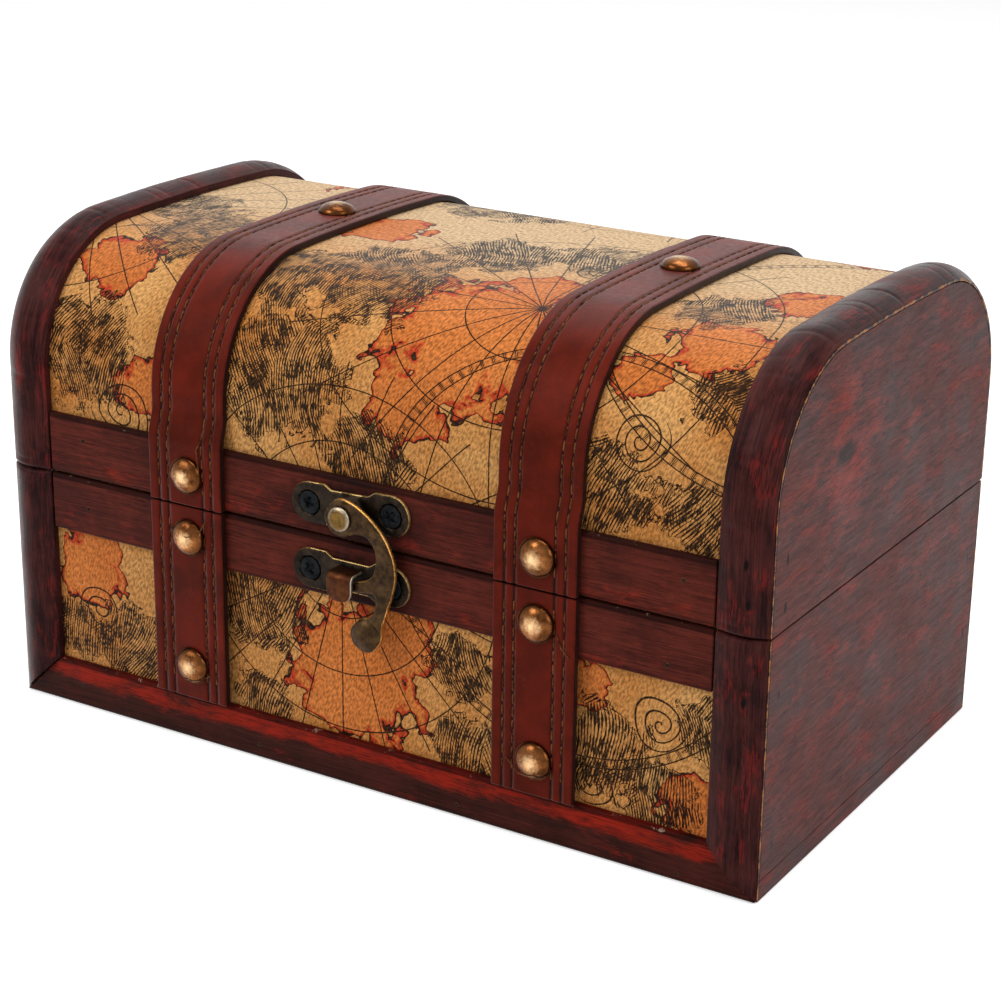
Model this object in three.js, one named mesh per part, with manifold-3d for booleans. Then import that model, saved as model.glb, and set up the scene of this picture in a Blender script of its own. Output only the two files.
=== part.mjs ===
// Small domed treasure chest: a wooden box with a hinged lid, leather straps and a hook latch.
// Millimetres. The origin is the centre of the underside, +Z is up and the front faces -Y.

import * as THREE from "three";
import { mergeVertices } from "three/addons/utils/BufferGeometryUtils.js";
import Module from "manifold-3d";

const wasm = await Module();
wasm.setup();

// Driving dimensions of the box
const boxLength = 220;
const boxDepth = 133;
const boxHeight = 130;
const splitHeight = 65.5;
const shoulderRadius = 36.5;
const crownRise = 0.6;

// Clearances
const fitGap = 0.2;
const splitGap = 0.5;
const railEndGap = 0.5;
const mitreGap = 0.3;
const overrun = 1;

// Boards, trims, rails and covers
const boardThickness = 5;
const bottomThickness = 5;
const endPanelThickness = 8;
const shellThickness = 4;
const coverThickness = 0.6;
const trimWidth = 13;
const trimThickness = 3.7;
const trimInnerEdge = 1.9;
const trimOuterEdge = 0.6;
const trimBackRise = 1.5;
const railRecess = 2;
const railEdgeRound = 0.7;
const lidRailHeight = 16;
const topRailHeight = 15.4;
const bottomRailHeight = 12.5;

// Leather straps and their tacks
const strapInset = 59;
const strapWidth = 22.6;
const strapThickness = 1.8;
const strapEdgeRound = 0.5;
const strapRampHeight = 8;
const tackRadius = 5;
const tackDome = 2.5;
const tackShankRadius = 0.8;
const tackShankLength = 6;
const lidTackRise = 8.3;
const upperTackDrop = 8.2;
const lowerTackShare = 0.255;
const tackShift = 0.8;

// Latch, hook and keeper
const latchX = -1.4;
const latchPlateRise = 8.9;
const latchPlateTurn = 0.045;
const keeperDrop = 8.8;
const latchLobeSpacing = 23.8;
const latchLobeRadius = 5.2;
const latchLobeLength = 4.5;
const latchWaistHalf = 3.9;
const latchWaistRun = 2;
const latchPlateThickness = 1;
const pivotX = -1.8;
const pivotRise = 7.5;
const bossRadius = 4.4;
const bossHeight = 1.5;
const hookReach = 33.5;
const hookThickness = 1.6;
const hookBallRadius = 4.5;
const hookBallThickness = 4.8;
const rivetRadius = 1.5;
const rivetHeadRadius = 3.1;
const rivetHeadHeight = 1.1;
const rivetRimHeight = 0.6;
const tongueWidth = 7.3;
const tongueDrop = 6.2;
const tongueHeight = 7;
const tongueReach = 5.1;
const tongueThickness = 1.2;
const tongueCornerRadius = 2.6;

// Hook outline from its pivot, as shares of its reach
const hookBallShare = [0.21, -0.865];
const hookOutlineShare = [
  [-0.143, 0.009],
  [-0.101, -0.101],
  [-0.006, -0.143],
  [0.107, -0.107],
  [0.215, -0.104],
  [0.284, -0.179],
  [0.301, -0.269],
  [0.275, -0.376],
  [0.212, -0.436],
  [0.137, -0.475],
  [0.135, -0.543],
  [0.196, -0.537],
  [0.278, -0.531],
  [0.296, -0.609],
  [0.257, -0.704],
  [0.149, -0.752],
  [0.075, -0.863],
  [0.122, -0.968],
  [0.251, -0.988],
  [0.343, -0.884],
  [0.361, -0.734],
  [0.433, -0.525],
  [0.466, -0.376],
  [0.449, -0.233],
  [0.37, -0.075],
  [0.245, 0.045],
  [0.107, 0.125],
  [-0.036, 0.143],
];

// Countersunk screws of the latch
const screwHeadRadius = 2.9;
const screwHeadDepth = 1;
const screwDome = 0.3;
const screwShankRadius = 1.3;
const screwLength = 5.5;

// Butt hinges on the back
const hingeInset = 30;
const hingeWidth = 20;
const hingeReach = 12;
const leafThickness = 0.8;
const barrelRadius = 1.8;
const pinRadius = 0.8;
const knuckleGap = 0.3;
const hingeScrewSpacing = 12;
const hingeScrewDrop = 7.5;
const panHeadRadius = 1.5;
const panHeadHeight = 0.7;
const panShankRadius = 0.6;
const panShankLength = 5.5;

// Smoothness of the round stretches
const shoulderSteps = 8;
const crownSteps = 6;
const beadSteps = 8;
const rampSteps = 5;
const roundSides = 20;
const shankSides = 10;
const barrelSides = 14;
const domeSteps = 4;
const lobeSteps = 8;
const hookSteps = 56;

// Planes that follow from the driving dimensions
const halfLength = boxLength / 2;
const halfDepth = boxDepth / 2;
const baseTop = splitHeight - splitGap / 2;
const lidBottom = splitHeight + splitGap / 2;
const railFace = halfDepth - railRecess;
const backingFace = halfDepth - trimThickness;
const coverFace = backingFace - fitGap;
const coverBack = coverFace - coverThickness;
const boardFace = coverBack - fitGap;
const boardBack = boardFace - boardThickness;
const innerLength = halfLength - endPanelThickness - fitGap;
const railHalf = halfLength - trimWidth - railEndGap;
const trimInner = halfLength - trimWidth;
const latchBack = railFace + fitGap;
const latchFace = latchBack + latchPlateThickness;
const hookBack = latchFace + bossHeight + fitGap;
const hookFace = hookBack + hookThickness;
const leafBack = railFace + fitGap;
const leafFace = leafBack + leafThickness;
const hingeAxisY = leafBack + barrelRadius;
const strapCentre = halfLength - strapInset;
const windowTop = baseTop - topRailHeight;
const windowHeight = windowTop - bottomRailHeight;
const lowerTackHeight = bottomRailHeight + windowHeight * lowerTackShare;
const upperTackHeight = splitHeight - upperTackDrop;
const lidTackHeight = splitHeight + lidTackRise;
const latchPlateHeight = splitHeight + latchPlateRise;
const keeperHeight = splitHeight - keeperDrop;
const pivotHeight = splitHeight + pivotRise;
const tongueTop = splitHeight - tongueDrop;

// Heights of the lid's layers above the line of the trims' crown
const coverTopLevel = -(trimThickness + fitGap);
const coverBottomLevel = coverTopLevel - coverThickness;
const shellTopLevel = coverBottomLevel - fitGap;
const shellBottomLevel = shellTopLevel - shellThickness;
const strapOnRailLevel = fitGap - railRecess;
const strapOnCoverLevel = coverTopLevel + fitGap;

// Looks of the materials
const looks = {
  stainedTrim: { color: "#4a2625", roughness: 0.55, metalness: 0 },
  stainedRail: { color: "#5a2322", roughness: 0.5, metalness: 0 },
  stainedPanel: { color: "#664444", roughness: 0.65, metalness: 0 },
  bareWood: { color: "#6b4630", roughness: 0.8, metalness: 0 },
  printedCover: { color: "#bf9055", roughness: 0.6, metalness: 0 },
  leather: { color: "#5e281c", roughness: 0.45, metalness: 0 },
  tackMetal: { color: "#a56a42", roughness: 0.3, metalness: 1 },
  latchBrass: { color: "#6a5230", roughness: 0.4, metalness: 1 },
  blackScrew: { color: "#2c2a2c", roughness: 0.5, metalness: 1 },
};

// Keeps welded points, drops empty triangles and turns the skin outward
function tidySkin(source) {
  const bare = source.clone();
  bare.deleteAttribute("normal");
  bare.deleteAttribute("uv");
  const welded = mergeVertices(bare);
  const points = welded.attributes.position;
  const read = (i) => new THREE.Vector3().fromBufferAttribute(points, i);
  const old = Array.from(welded.index.array);
  const index = [];
  let volume = 0;
  for (let i = 0; i < old.length; i += 3) {
    const [a, b, c] = old.slice(i, i + 3);
    if (a !== b && b !== c && c !== a) {
      index.push(a, b, c);
      volume += read(a).dot(read(b).cross(read(c)));
    }
  }
  if (volume < 0) {
    index.reverse();
  }
  welded.setIndex(index);
  return welded;
}

// Closed skin over rows of points, with the outline closing both ends
function skinOver(rows, outline) {
  const count = outline.length;
  const flat = outline.map(([u, v]) => new THREE.Vector2(u, v));
  const clockwise = THREE.ShapeUtils.isClockWise(flat);
  const last = (rows.length - 1) * count;
  const index = [];
  for (let row = 0; row + 1 < rows.length; row += 1) {
    for (let i = 0; i < count; i += 1) {
      const a = row * count + i;
      const b = row * count + ((i + 1) % count);
      index.push(a, b, b + count, a, b + count, a + count);
    }
  }
  for (const face of THREE.ShapeUtils.triangulateShape(flat, [])) {
    const [a, b, c] = clockwise ? face.slice().reverse() : face;
    index.push(a, c, b, last + a, last + b, last + c);
  }
  const skin = new THREE.BufferGeometry();
  skin.setAttribute("position", new THREE.Float32BufferAttribute(rows.flat(2), 3));
  skin.setIndex(index);
  return tidySkin(skin);
}

// Flat piece cut from an x-z outline, between two places along y
function sheetAlongY(outline, back, front) {
  const rows = [back, front].map((y) => outline.map(([x, z]) => [x, y, z]));
  return skinOver(rows, outline);
}

// Flat piece cut from a y-z outline, between two places along x
function sheetAlongX(outline, left, right) {
  const rows = [left, right].map((x) => outline.map(([y, z]) => [x, y, z]));
  return skinOver(rows, outline);
}

function block([x0, x1], [y0, y1], [z0, z1]) {
  const outline = [[x0, z0], [x1, z0], [x1, z1], [x0, z1]];
  return sheetAlongY(outline, y0, y1);
}

// Turned piece: its profile lists radius and height, and stands at the foot along the direction
function turned(profile, foot, direction, sides = roundSides) {
  const outline = profile.map(([radius, height]) => new THREE.Vector2(radius, height));
  const shape = new THREE.LatheGeometry(outline, sides);
  const turn = new THREE.Quaternion().setFromUnitVectors(
    new THREE.Vector3(0, 1, 0),
    new THREE.Vector3(...direction).normalize(),
  );
  shape.applyQuaternion(turn);
  shape.translate(...foot);
  return tidySkin(shape);
}

function rodAlongX(left, right, y, z, radius) {
  const profile = [[0, 0], [radius, 0], [radius, right - left], [0, right - left]];
  return turned(profile, [left, y, z], [1, 0, 0], barrelSides);
}

function toSolid(skin) {
  const welded = tidySkin(skin);
  const mesh = new wasm.Mesh({
    numProp: 3,
    vertProperties: new Float32Array(welded.attributes.position.array),
    triVerts: new Uint32Array(welded.index.array),
  });
  return new wasm.Manifold(mesh);
}

function fromSolid(solid) {
  const mesh = solid.getMesh();
  const skin = new THREE.BufferGeometry();
  skin.setAttribute("position", new THREE.BufferAttribute(new Float32Array(mesh.vertProperties), 3));
  skin.setIndex(Array.from(mesh.triVerts));
  return skin;
}

function join(skins) {
  return fromSolid(skins.map(toSolid).reduce((whole, next) => whole.add(next)));
}

function cut(skin, tools) {
  return fromSolid(tools.map(toSolid).reduce((left, tool) => left.subtract(tool), toSolid(skin)));
}

// Centres and radii of the lid's arch along the trims' crown
const shoulderInset = halfDepth - shoulderRadius;
const shoulderHeight = boxHeight - crownRise - shoulderRadius;
const crownSpan = boxHeight - shoulderHeight;
const crownRadius = (shoulderInset ** 2 + crownSpan ** 2 - shoulderRadius ** 2) / (crownRise * 2);
const crownCentre = boxHeight - crownRadius;
const shoulderTurn = Math.atan2(shoulderHeight - crownCentre, shoulderInset);

// A place on the crown line with its outward direction
function arcStation(centreY, centreZ, radius, angle) {
  const ny = -Math.cos(angle);
  const nz = Math.sin(angle);
  return { y: centreY + ny * radius, z: centreZ + nz * radius, ny, nz };
}

function wallStation(side, z) {
  return { y: side * halfDepth, z, ny: side, nz: 0 };
}

function steps(count, from, to) {
  return Array.from({ length: count + 1 }, (_, i) => from + ((to - from) * i) / count);
}

// Stations over the whole arch from the front's lower edge to the back's
function archStations(wallHeights = [lidBottom]) {
  const backTurn = Math.PI - shoulderTurn;
  const front = wallHeights.map((z) => wallStation(-1, z));
  const back = wallHeights.map((z) => wallStation(1, z)).reverse();
  const frontShoulder = steps(shoulderSteps, 0, shoulderTurn)
    .map((angle) => arcStation(-shoulderInset, shoulderHeight, shoulderRadius, angle));
  const crown = steps(crownSteps, shoulderTurn, backTurn).slice(1, -1)
    .map((angle) => arcStation(0, crownCentre, crownRadius, angle));
  const backShoulder = steps(shoulderSteps, backTurn, Math.PI)
    .map((angle) => arcStation(shoulderInset, shoulderHeight, shoulderRadius, angle));
  return [...front, ...frontShoulder, ...crown, ...backShoulder, ...back];
}

// Sweeps a section of x and height over the stations; lift raises it station by station
function sweep(stations, section, lift = () => 0) {
  const rows = stations.map((station) => section.map(([x, height]) => {
    const raised = height + lift(station, height);
    return [x, station.y + station.ny * raised, station.z + station.nz * raised];
  }));
  return skinOver(rows, section);
}

// Outline of the lid at one level, seen from the end
function archOutline(level) {
  return archStations().map(({ y, z, ny, nz }) => [y + ny * level, z + nz * level]);
}

// Section of the rounded trims: flat underside, a low outer edge and a bead that crowns in the middle
function beadSection(side) {
  const bead = steps(beadSteps, 0, Math.PI).map((angle) => {
    const edge = Math.cos(angle) > 0 ? trimOuterEdge : trimInnerEdge;
    const x = halfLength - trimWidth / 2 + Math.cos(angle) * trimWidth / 2;
    return [side * x, (edge - trimThickness) * Math.cos(angle) ** 2];
  });
  return [[side * trimInner, -trimThickness], [side * halfLength, -trimThickness], ...bead];
}

// Bottom board, boards and end panels of the base
function bottomBoard() {
  return block([-halfLength, halfLength], [-coverFace, coverFace], [0, bottomThickness]);
}

function baseBoard(side) {
  const reach = [side * boardBack, side * boardFace];
  return block([-innerLength, innerLength], reach, [bottomThickness + fitGap, baseTop]);
}

function baseEndPanel(side) {
  const reach = [side * (halfLength - endPanelThickness), side * halfLength];
  return block(reach, [-coverFace, coverFace], [bottomThickness + fitGap, baseTop]);
}

function baseCover(side) {
  const reach = [side * coverBack, side * coverFace];
  return block([-innerLength, innerLength], reach, [bottomThickness + fitGap, baseTop]);
}

// Section of a rail in y and z, with its outer long edges rounded
function railOutline(side, low, high) {
  const edge = railFace - railEdgeRound;
  return [
    [side * backingFace, low],
    [side * edge, low],
    [side * railFace, low + railEdgeRound],
    [side * railFace, high - railEdgeRound],
    [side * edge, high],
    [side * backingFace, high],
  ];
}

function straightRail(side, low, high) {
  return sheetAlongX(railOutline(side, low, high), -railHalf, railHalf);
}

// The bottom rail and the corner trims meet on a slope that runs out of the lower corner
function mitreX(z) {
  return halfLength - (z * trimWidth) / bottomRailHeight;
}

function mitreZ(x) {
  return ((halfLength - Math.abs(x)) * bottomRailHeight) / trimWidth;
}

function bottomRail(side) {
  const outline = railOutline(side, 0, bottomRailHeight);
  const rows = [-1, 1].map((end) => outline.map(([y, z]) => [end * (mitreX(z) - mitreGap), y, z]));
  return skinOver(rows, outline);
}

function cornerTrim(end, side) {
  const section = beadSection(end);
  const foot = section.map(([x, height]) => [x, side * (halfDepth + height), mitreZ(x)]);
  const head = section.map(([x, height]) => [x, side * (halfDepth + height), baseTop]);
  return skinOver([foot, head], section);
}

// Shell, cover, trims and end panels of the lid
function lidLayer(low, high) {
  const section = [[-innerLength, low], [innerLength, low], [innerLength, high], [-innerLength, high]];
  return sweep(archStations(), section);
}

function lidTrim(end) {
  const backShare = (station) => Math.max(0, station.ny) ** 2;
  const topShare = (height) => (height + trimThickness) / trimThickness;
  const lift = (station, height) => trimBackRise * backShare(station) * topShare(height);
  return sweep(archStations(), beadSection(end), lift);
}

function lidEndPanel(end) {
  const inner = end * (halfLength - endPanelThickness);
  return sheetAlongX(archOutline(coverTopLevel), inner, end * halfLength);
}

// Leather straps: on the lid they bend from the rails down onto the cover
function strapSection(centre) {
  const half = strapWidth / 2;
  return [
    [centre - half, 0],
    [centre + half, 0],
    [centre + half, strapThickness - strapEdgeRound],
    [centre + half - strapEdgeRound, strapThickness],
    [centre - half + strapEdgeRound, strapThickness],
    [centre - half, strapThickness - strapEdgeRound],
  ];
}

function easedShare(value, from, to) {
  const share = Math.min(1, Math.max(0, (value - from) / (to - from)));
  return share * share * (3 - 2 * share);
}

function strapLevel(share) {
  return strapOnRailLevel + (strapOnCoverLevel - strapOnRailLevel) * share;
}

function lidStrap(end) {
  const rampStart = lidBottom + lidRailHeight + fitGap;
  const rampEnd = rampStart + strapRampHeight;
  const heights = [lidBottom, ...steps(rampSteps, rampStart, rampEnd)];
  const lift = ({ z }) => strapLevel(easedShare(z, rampStart, rampEnd));
  return sweep(archStations(heights), strapSection(end * strapCentre), lift);
}

// On the base a strap runs straight down from the top rail to the bottom rail
function baseStrap(end) {
  const heights = [baseTop, bottomRailHeight + fitGap];
  const stations = heights.map((z) => wallStation(-1, z));
  return sweep(stations, strapSection(end * strapCentre), () => strapOnRailLevel);
}

// A fixing is the spot on a surface where a tack or a screw enters, with the way out
function frontFixing(x, y, z) {
  return { foot: [x, -y, z], out: [0, -1, 0] };
}

function backFixing(x, y, z) {
  return { foot: [x, y, z], out: [0, 1, 0] };
}

const tackOnRail = halfDepth + strapOnRailLevel + strapThickness + fitGap;
const tackOnCrown = boxHeight + strapOnCoverLevel + strapThickness + fitGap;

// The tacks sit a little to the right of each strap's middle
function lidTackFixings(end) {
  const x = end * strapCentre + tackShift;
  return {
    front: frontFixing(x, tackOnRail, lidTackHeight),
    top: { foot: [x, 0, tackOnCrown], out: [0, 0, 1] },
    back: backFixing(x, tackOnRail, lidTackHeight),
  };
}

function baseTackFixings(end) {
  const x = end * strapCentre + tackShift;
  return {
    upper: frontFixing(x, tackOnRail, upperTackHeight),
    lower: frontFixing(x, tackOnRail, lowerTackHeight),
  };
}

function shankBit({ foot, out }, radius, length) {
  const low = -length - fitGap;
  const high = overrun;
  const wide = radius + fitGap;
  return turned([[0, low], [wide, low], [wide, high], [0, high]], foot, out, shankSides);
}

// Domed tack with its shank
function tack({ foot, out }) {
  const dome = steps(domeSteps, 0, Math.PI / 2)
    .map((angle) => [Math.cos(angle) * tackRadius, Math.sin(angle) * tackDome]);
  dome[domeSteps][0] = 0;
  const shank = [[0, -tackShankLength], [tackShankRadius, -tackShankLength], [tackShankRadius, 0]];
  return turned([...shank, ...dome], foot, out);
}

function tackBit(fixing) {
  return shankBit(fixing, tackShankRadius, tackShankLength);
}

// Countersunk screw of the latch plates, and the hole it sits in
function latchScrew({ foot, out }) {
  const profile = [
    [0, -screwLength],
    [screwShankRadius, -screwLength],
    [screwShankRadius, -screwHeadDepth],
    [screwHeadRadius, 0],
    [screwHeadRadius / 2, screwDome],
    [0, screwDome],
  ];
  return turned(profile, foot, out);
}

function latchScrewBit({ foot, out }) {
  const wideShank = screwShankRadius + fitGap;
  const wideHead = screwHeadRadius + fitGap;
  const profile = [
    [0, -screwLength - fitGap],
    [wideShank, -screwLength - fitGap],
    [wideShank, -screwHeadDepth - fitGap],
    [wideHead, 0],
    [wideHead, overrun],
    [0, overrun],
  ];
  return turned(profile, foot, out);
}

// A point of a latch plate, from the plate's own middle and turned with it
function onLatchPlate(x, z, height, turn) {
  const sine = Math.sin(turn);
  const cosine = Math.cos(turn);
  return [latchX + x * cosine - z * sine, height + x * sine + z * cosine];
}

// Outline of a latch plate: two round lobes and a narrower waist
function latchOutline(height, turn) {
  const lobe = latchLobeSpacing / 2;
  const shoulder = lobe - latchLobeLength;
  const waist = shoulder - latchWaistRun;
  const halfOutline = (side) => [
    [side * waist, -side * latchWaistHalf],
    [side * shoulder, -side * latchLobeRadius],
    ...steps(lobeSteps, -Math.PI / 2, Math.PI / 2).map((angle) => [
      side * (lobe + Math.cos(angle) * latchLobeRadius),
      side * Math.sin(angle) * latchLobeRadius,
    ]),
    [side * shoulder, side * latchLobeRadius],
    [side * waist, side * latchWaistHalf],
  ];
  const outline = [...halfOutline(1), ...halfOutline(-1)];
  return outline.map(([x, z]) => onLatchPlate(x, z, height, turn));
}

function latchScrewFixing(end, height, turn) {
  const [x, z] = onLatchPlate((end * latchLobeSpacing) / 2, 0, height, turn);
  return frontFixing(x, latchFace, z);
}

function latchPlateScrewFixing(end) {
  return latchScrewFixing(end, latchPlateHeight, latchPlateTurn);
}

function keeperScrewFixing(end) {
  return latchScrewFixing(end, keeperHeight, 0);
}

function pivotRod(back, front, radius) {
  const length = front - back;
  const profile = [[0, 0], [radius, 0], [radius, length], [0, length]];
  return turned(profile, [pivotX, -back, pivotHeight], [0, -1, 0]);
}

function latchPlate() {
  const outline = latchOutline(latchPlateHeight, latchPlateTurn);
  const plate = sheetAlongY(outline, -latchBack, -latchFace);
  const boss = pivotRod(latchBack + fitGap, latchFace + bossHeight, bossRadius);
  const bore = pivotRod(latchBack - overrun, hookFace + overrun, rivetRadius + fitGap);
  const screwBits = [-1, 1].map((end) => latchScrewBit(latchPlateScrewFixing(end)));
  return cut(join([plate, boss]), [bore, ...screwBits]);
}

function rivet() {
  const headFoot = hookFace + fitGap - latchBack - fitGap;
  const profile = [
    [0, 0],
    [rivetRadius, 0],
    [rivetRadius, headFoot],
    [rivetHeadRadius, headFoot],
    [rivetHeadRadius, headFoot + rivetRimHeight],
    [rivetHeadRadius / 2, headFoot + rivetHeadHeight],
    [0, headFoot + rivetHeadHeight],
  ];
  return turned(profile, [pivotX, -(latchBack + fitGap), pivotHeight], [0, -1, 0]);
}

// Keeper plate: a tongue is bent out of it and down in front of the hook's finger
function keeperPlate() {
  const plate = sheetAlongY(latchOutline(keeperHeight, 0), -latchBack, -latchFace);
  const half = tongueWidth / 2;
  const front = latchFace + tongueReach;
  const low = tongueTop - tongueHeight;
  const corner = tongueCornerRadius;
  const round = (side, angle) => [
    latchX + side * (half - corner + Math.sin(angle) * corner),
    low + corner - Math.cos(angle) * corner,
  ];
  const face = [
    [latchX - half, tongueTop],
    ...steps(lobeSteps / 2, Math.PI / 2, 0).map((angle) => round(-1, angle)),
    ...steps(lobeSteps / 2, 0, Math.PI / 2).map((angle) => round(1, angle)),
    [latchX + half, tongueTop],
  ];
  const tongue = sheetAlongY(face, -(front - tongueThickness), -front);
  const web = block(
    [latchX - half, latchX + half],
    [-front, -(latchFace - latchPlateThickness / 2)],
    [tongueTop - tongueThickness, tongueTop],
  );
  const screwBits = [-1, 1].map((end) => latchScrewBit(keeperScrewFixing(end)));
  return cut(join([plate, web, tongue]), screwBits);
}

// Hook: a horn that swings on the rivet, with a finger for the keeper and a ball to hold it by
function latchHook() {
  const knots = hookOutlineShare.map(([x, z]) => (
    new THREE.Vector3(pivotX + x * hookReach, 0, pivotHeight + z * hookReach)
  ));
  const curve = new THREE.CatmullRomCurve3(knots, true, "centripetal");
  const outline = curve.getPoints(hookSteps).slice(0, -1).map((point) => [point.x, point.z]);
  const horn = sheetAlongY(outline, -hookBack, -hookFace);
  const [ballX, ballZ] = hookBallShare;
  const ball = new THREE.SphereGeometry(hookBallRadius, roundSides / 2, domeSteps * 2);
  ball.scale(1, hookBallThickness / (hookBallRadius * 2), 1);
  ball.translate(
    pivotX + ballX * hookReach,
    -(hookBack + hookFace) / 2,
    pivotHeight + ballZ * hookReach,
  );
  const bore = pivotRod(hookBack - overrun, hookFace + overrun, rivetRadius + fitGap);
  return cut(join([horn, ball]), [bore]);
}

// Butt hinges: three knuckles on a pin, the outer two on the base leaf
function hingeCentre(end) {
  return end * (halfLength - hingeInset);
}

function hingeScrewFixings(end, way) {
  const centre = hingeCentre(end);
  const half = hingeScrewSpacing / 2;
  const z = splitHeight + way * hingeScrewDrop;
  return [centre - half, centre + half].map((x) => backFixing(x, leafFace, z));
}

function hingeLeaf(end, way) {
  const centre = hingeCentre(end);
  const half = hingeWidth / 2;
  const third = hingeWidth / 6;
  const middle = [[centre - third + knuckleGap / 2, centre + third - knuckleGap / 2]];
  const outer = [
    [centre - half, centre - third - knuckleGap / 2],
    [centre + third + knuckleGap / 2, centre + half],
  ];
  const plateStart = splitHeight + way * (barrelRadius + knuckleGap);
  const plateEnd = splitHeight + way * hingeReach;
  const plate = block([centre - half, centre + half], [leafBack, leafFace], [plateStart, plateEnd]);
  const knuckles = (way > 0 ? middle : outer).flatMap(([left, right]) => [
    rodAlongX(left, right, hingeAxisY, splitHeight, barrelRadius),
    block([left, right], [leafBack, leafFace], [splitHeight, plateStart + way * knuckleGap]),
  ]);
  const bore = rodAlongX(
    centre - half - overrun,
    centre + half + overrun,
    hingeAxisY,
    splitHeight,
    pinRadius + fitGap,
  );
  const screwBits = hingeScrewFixings(end, way).map(hingeScrewBit);
  return cut(join([plate, ...knuckles]), [bore, ...screwBits]);
}

function hingePin(end) {
  const centre = hingeCentre(end);
  const half = hingeWidth / 2;
  return rodAlongX(centre - half, centre + half, hingeAxisY, splitHeight, pinRadius);
}

function hingeScrew({ foot, out }) {
  const profile = [
    [0, -panShankLength],
    [panShankRadius, -panShankLength],
    [panShankRadius, fitGap],
    [panHeadRadius, fitGap],
    [panHeadRadius, fitGap + panHeadHeight / 2],
    [panHeadRadius / 2, fitGap + panHeadHeight],
    [0, fitGap + panHeadHeight],
  ];
  return turned(profile, foot, out, shankSides);
}

function hingeScrewBit(fixing) {
  return shankBit(fixing, panShankRadius, panShankLength);
}

// The chest, piece by piece
const chest = new THREE.Group();
chest.name = "treasure_chest";

function place(name, skin, look) {
  const body = skin.clone();
  body.computeVertexNormals();
  const piece = new THREE.Mesh(body, new THREE.MeshStandardMaterial(look));
  piece.name = name;
  chest.add(piece);
}

const ends = [["left", -1], ["right", 1]];
const sides = [["front", -1], ["back", 1]];

// Holes for the tacks and screws, gathered by the pieces they go through
const baseHoles = [
  ...ends.flatMap(([, end]) => Object.values(baseTackFixings(end)).map(tackBit)),
  ...ends.map(([, end]) => latchScrewBit(keeperScrewFixing(end))),
  ...ends.flatMap(([, end]) => hingeScrewFixings(end, -1).map(hingeScrewBit)),
];
const lidHoles = [
  ...ends.flatMap(([, end]) => Object.values(lidTackFixings(end)).map(tackBit)),
  ...ends.map(([, end]) => latchScrewBit(latchPlateScrewFixing(end))),
  ...ends.flatMap(([, end]) => hingeScrewFixings(end, 1).map(hingeScrewBit)),
];

place("bottom_board", bottomBoard(), looks.bareWood);
for (const [sideName, side] of sides) {
  const topRail = straightRail(side, baseTop - topRailHeight, baseTop);
  place(`base_${sideName}_board`, cut(baseBoard(side), baseHoles), looks.bareWood);
  place(`base_${sideName}_printed_cover`, cut(baseCover(side), baseHoles), looks.printedCover);
  place(`base_${sideName}_top_rail`, cut(topRail, baseHoles), looks.stainedRail);
  place(`base_${sideName}_bottom_rail`, bottomRail(side), looks.stainedRail);
  const lidRail = straightRail(side, lidBottom, lidBottom + lidRailHeight);
  place(`lid_${sideName}_rail`, cut(lidRail, lidHoles), looks.stainedRail);
}
place("lid_shell", cut(lidLayer(shellBottomLevel, shellTopLevel), lidHoles), looks.bareWood);
place("lid_printed_cover", cut(lidLayer(coverBottomLevel, coverTopLevel), lidHoles), looks.printedCover);

for (const [endName, end] of ends) {
  place(`base_${endName}_end_panel`, baseEndPanel(end), looks.stainedPanel);
  place(`lid_${endName}_end_panel`, lidEndPanel(end), looks.stainedPanel);
  place(`lid_${endName}_trim`, lidTrim(end), looks.stainedTrim);
  for (const [sideName, side] of sides) {
    place(`corner_trim_${sideName}_${endName}`, cornerTrim(end, side), looks.stainedTrim);
  }
  place(`lid_${endName}_strap`, cut(lidStrap(end), lidHoles), looks.leather);
  place(`base_${endName}_strap`, cut(baseStrap(end), baseHoles), looks.leather);
  for (const [spot, fixing] of Object.entries(lidTackFixings(end))) {
    place(`lid_${endName}_${spot}_tack`, tack(fixing), looks.tackMetal);
  }
  for (const [spot, fixing] of Object.entries(baseTackFixings(end))) {
    place(`base_${endName}_${spot}_tack`, tack(fixing), looks.tackMetal);
  }
  place(`latch_screw_${endName}`, latchScrew(latchPlateScrewFixing(end)), looks.blackScrew);
  place(`keeper_screw_${endName}`, latchScrew(keeperScrewFixing(end)), looks.blackScrew);
  place(`hinge_${endName}_lid_leaf`, hingeLeaf(end, 1), looks.latchBrass);
  place(`hinge_${endName}_base_leaf`, hingeLeaf(end, -1), looks.latchBrass);
  place(`hinge_${endName}_pin`, hingePin(end), looks.latchBrass);
  hingeScrewFixings(end, 1).forEach((fixing, i) => {
    place(`hinge_${endName}_lid_screw_${i + 1}`, hingeScrew(fixing), looks.latchBrass);
  });
  hingeScrewFixings(end, -1).forEach((fixing, i) => {
    place(`hinge_${endName}_base_screw_${i + 1}`, hingeScrew(fixing), looks.latchBrass);
  });
}

place("latch_plate", latchPlate(), looks.latchBrass);
place("latch_rivet", rivet(), looks.latchBrass);
place("latch_hook", latchHook(), looks.latchBrass);
place("keeper_plate", keeperPlate(), looks.latchBrass);

export default chest;
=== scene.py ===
# Small domed treasure chest: stained wood, printed leatherette, leather straps and an old brass latch.
# Sizes are in millimetres, and MM turns them to metres. Only the studio is written in metres.

import math
from functools import partial

import bmesh
import bpy
from mathutils import Matrix, Vector, geometry, noise


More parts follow.
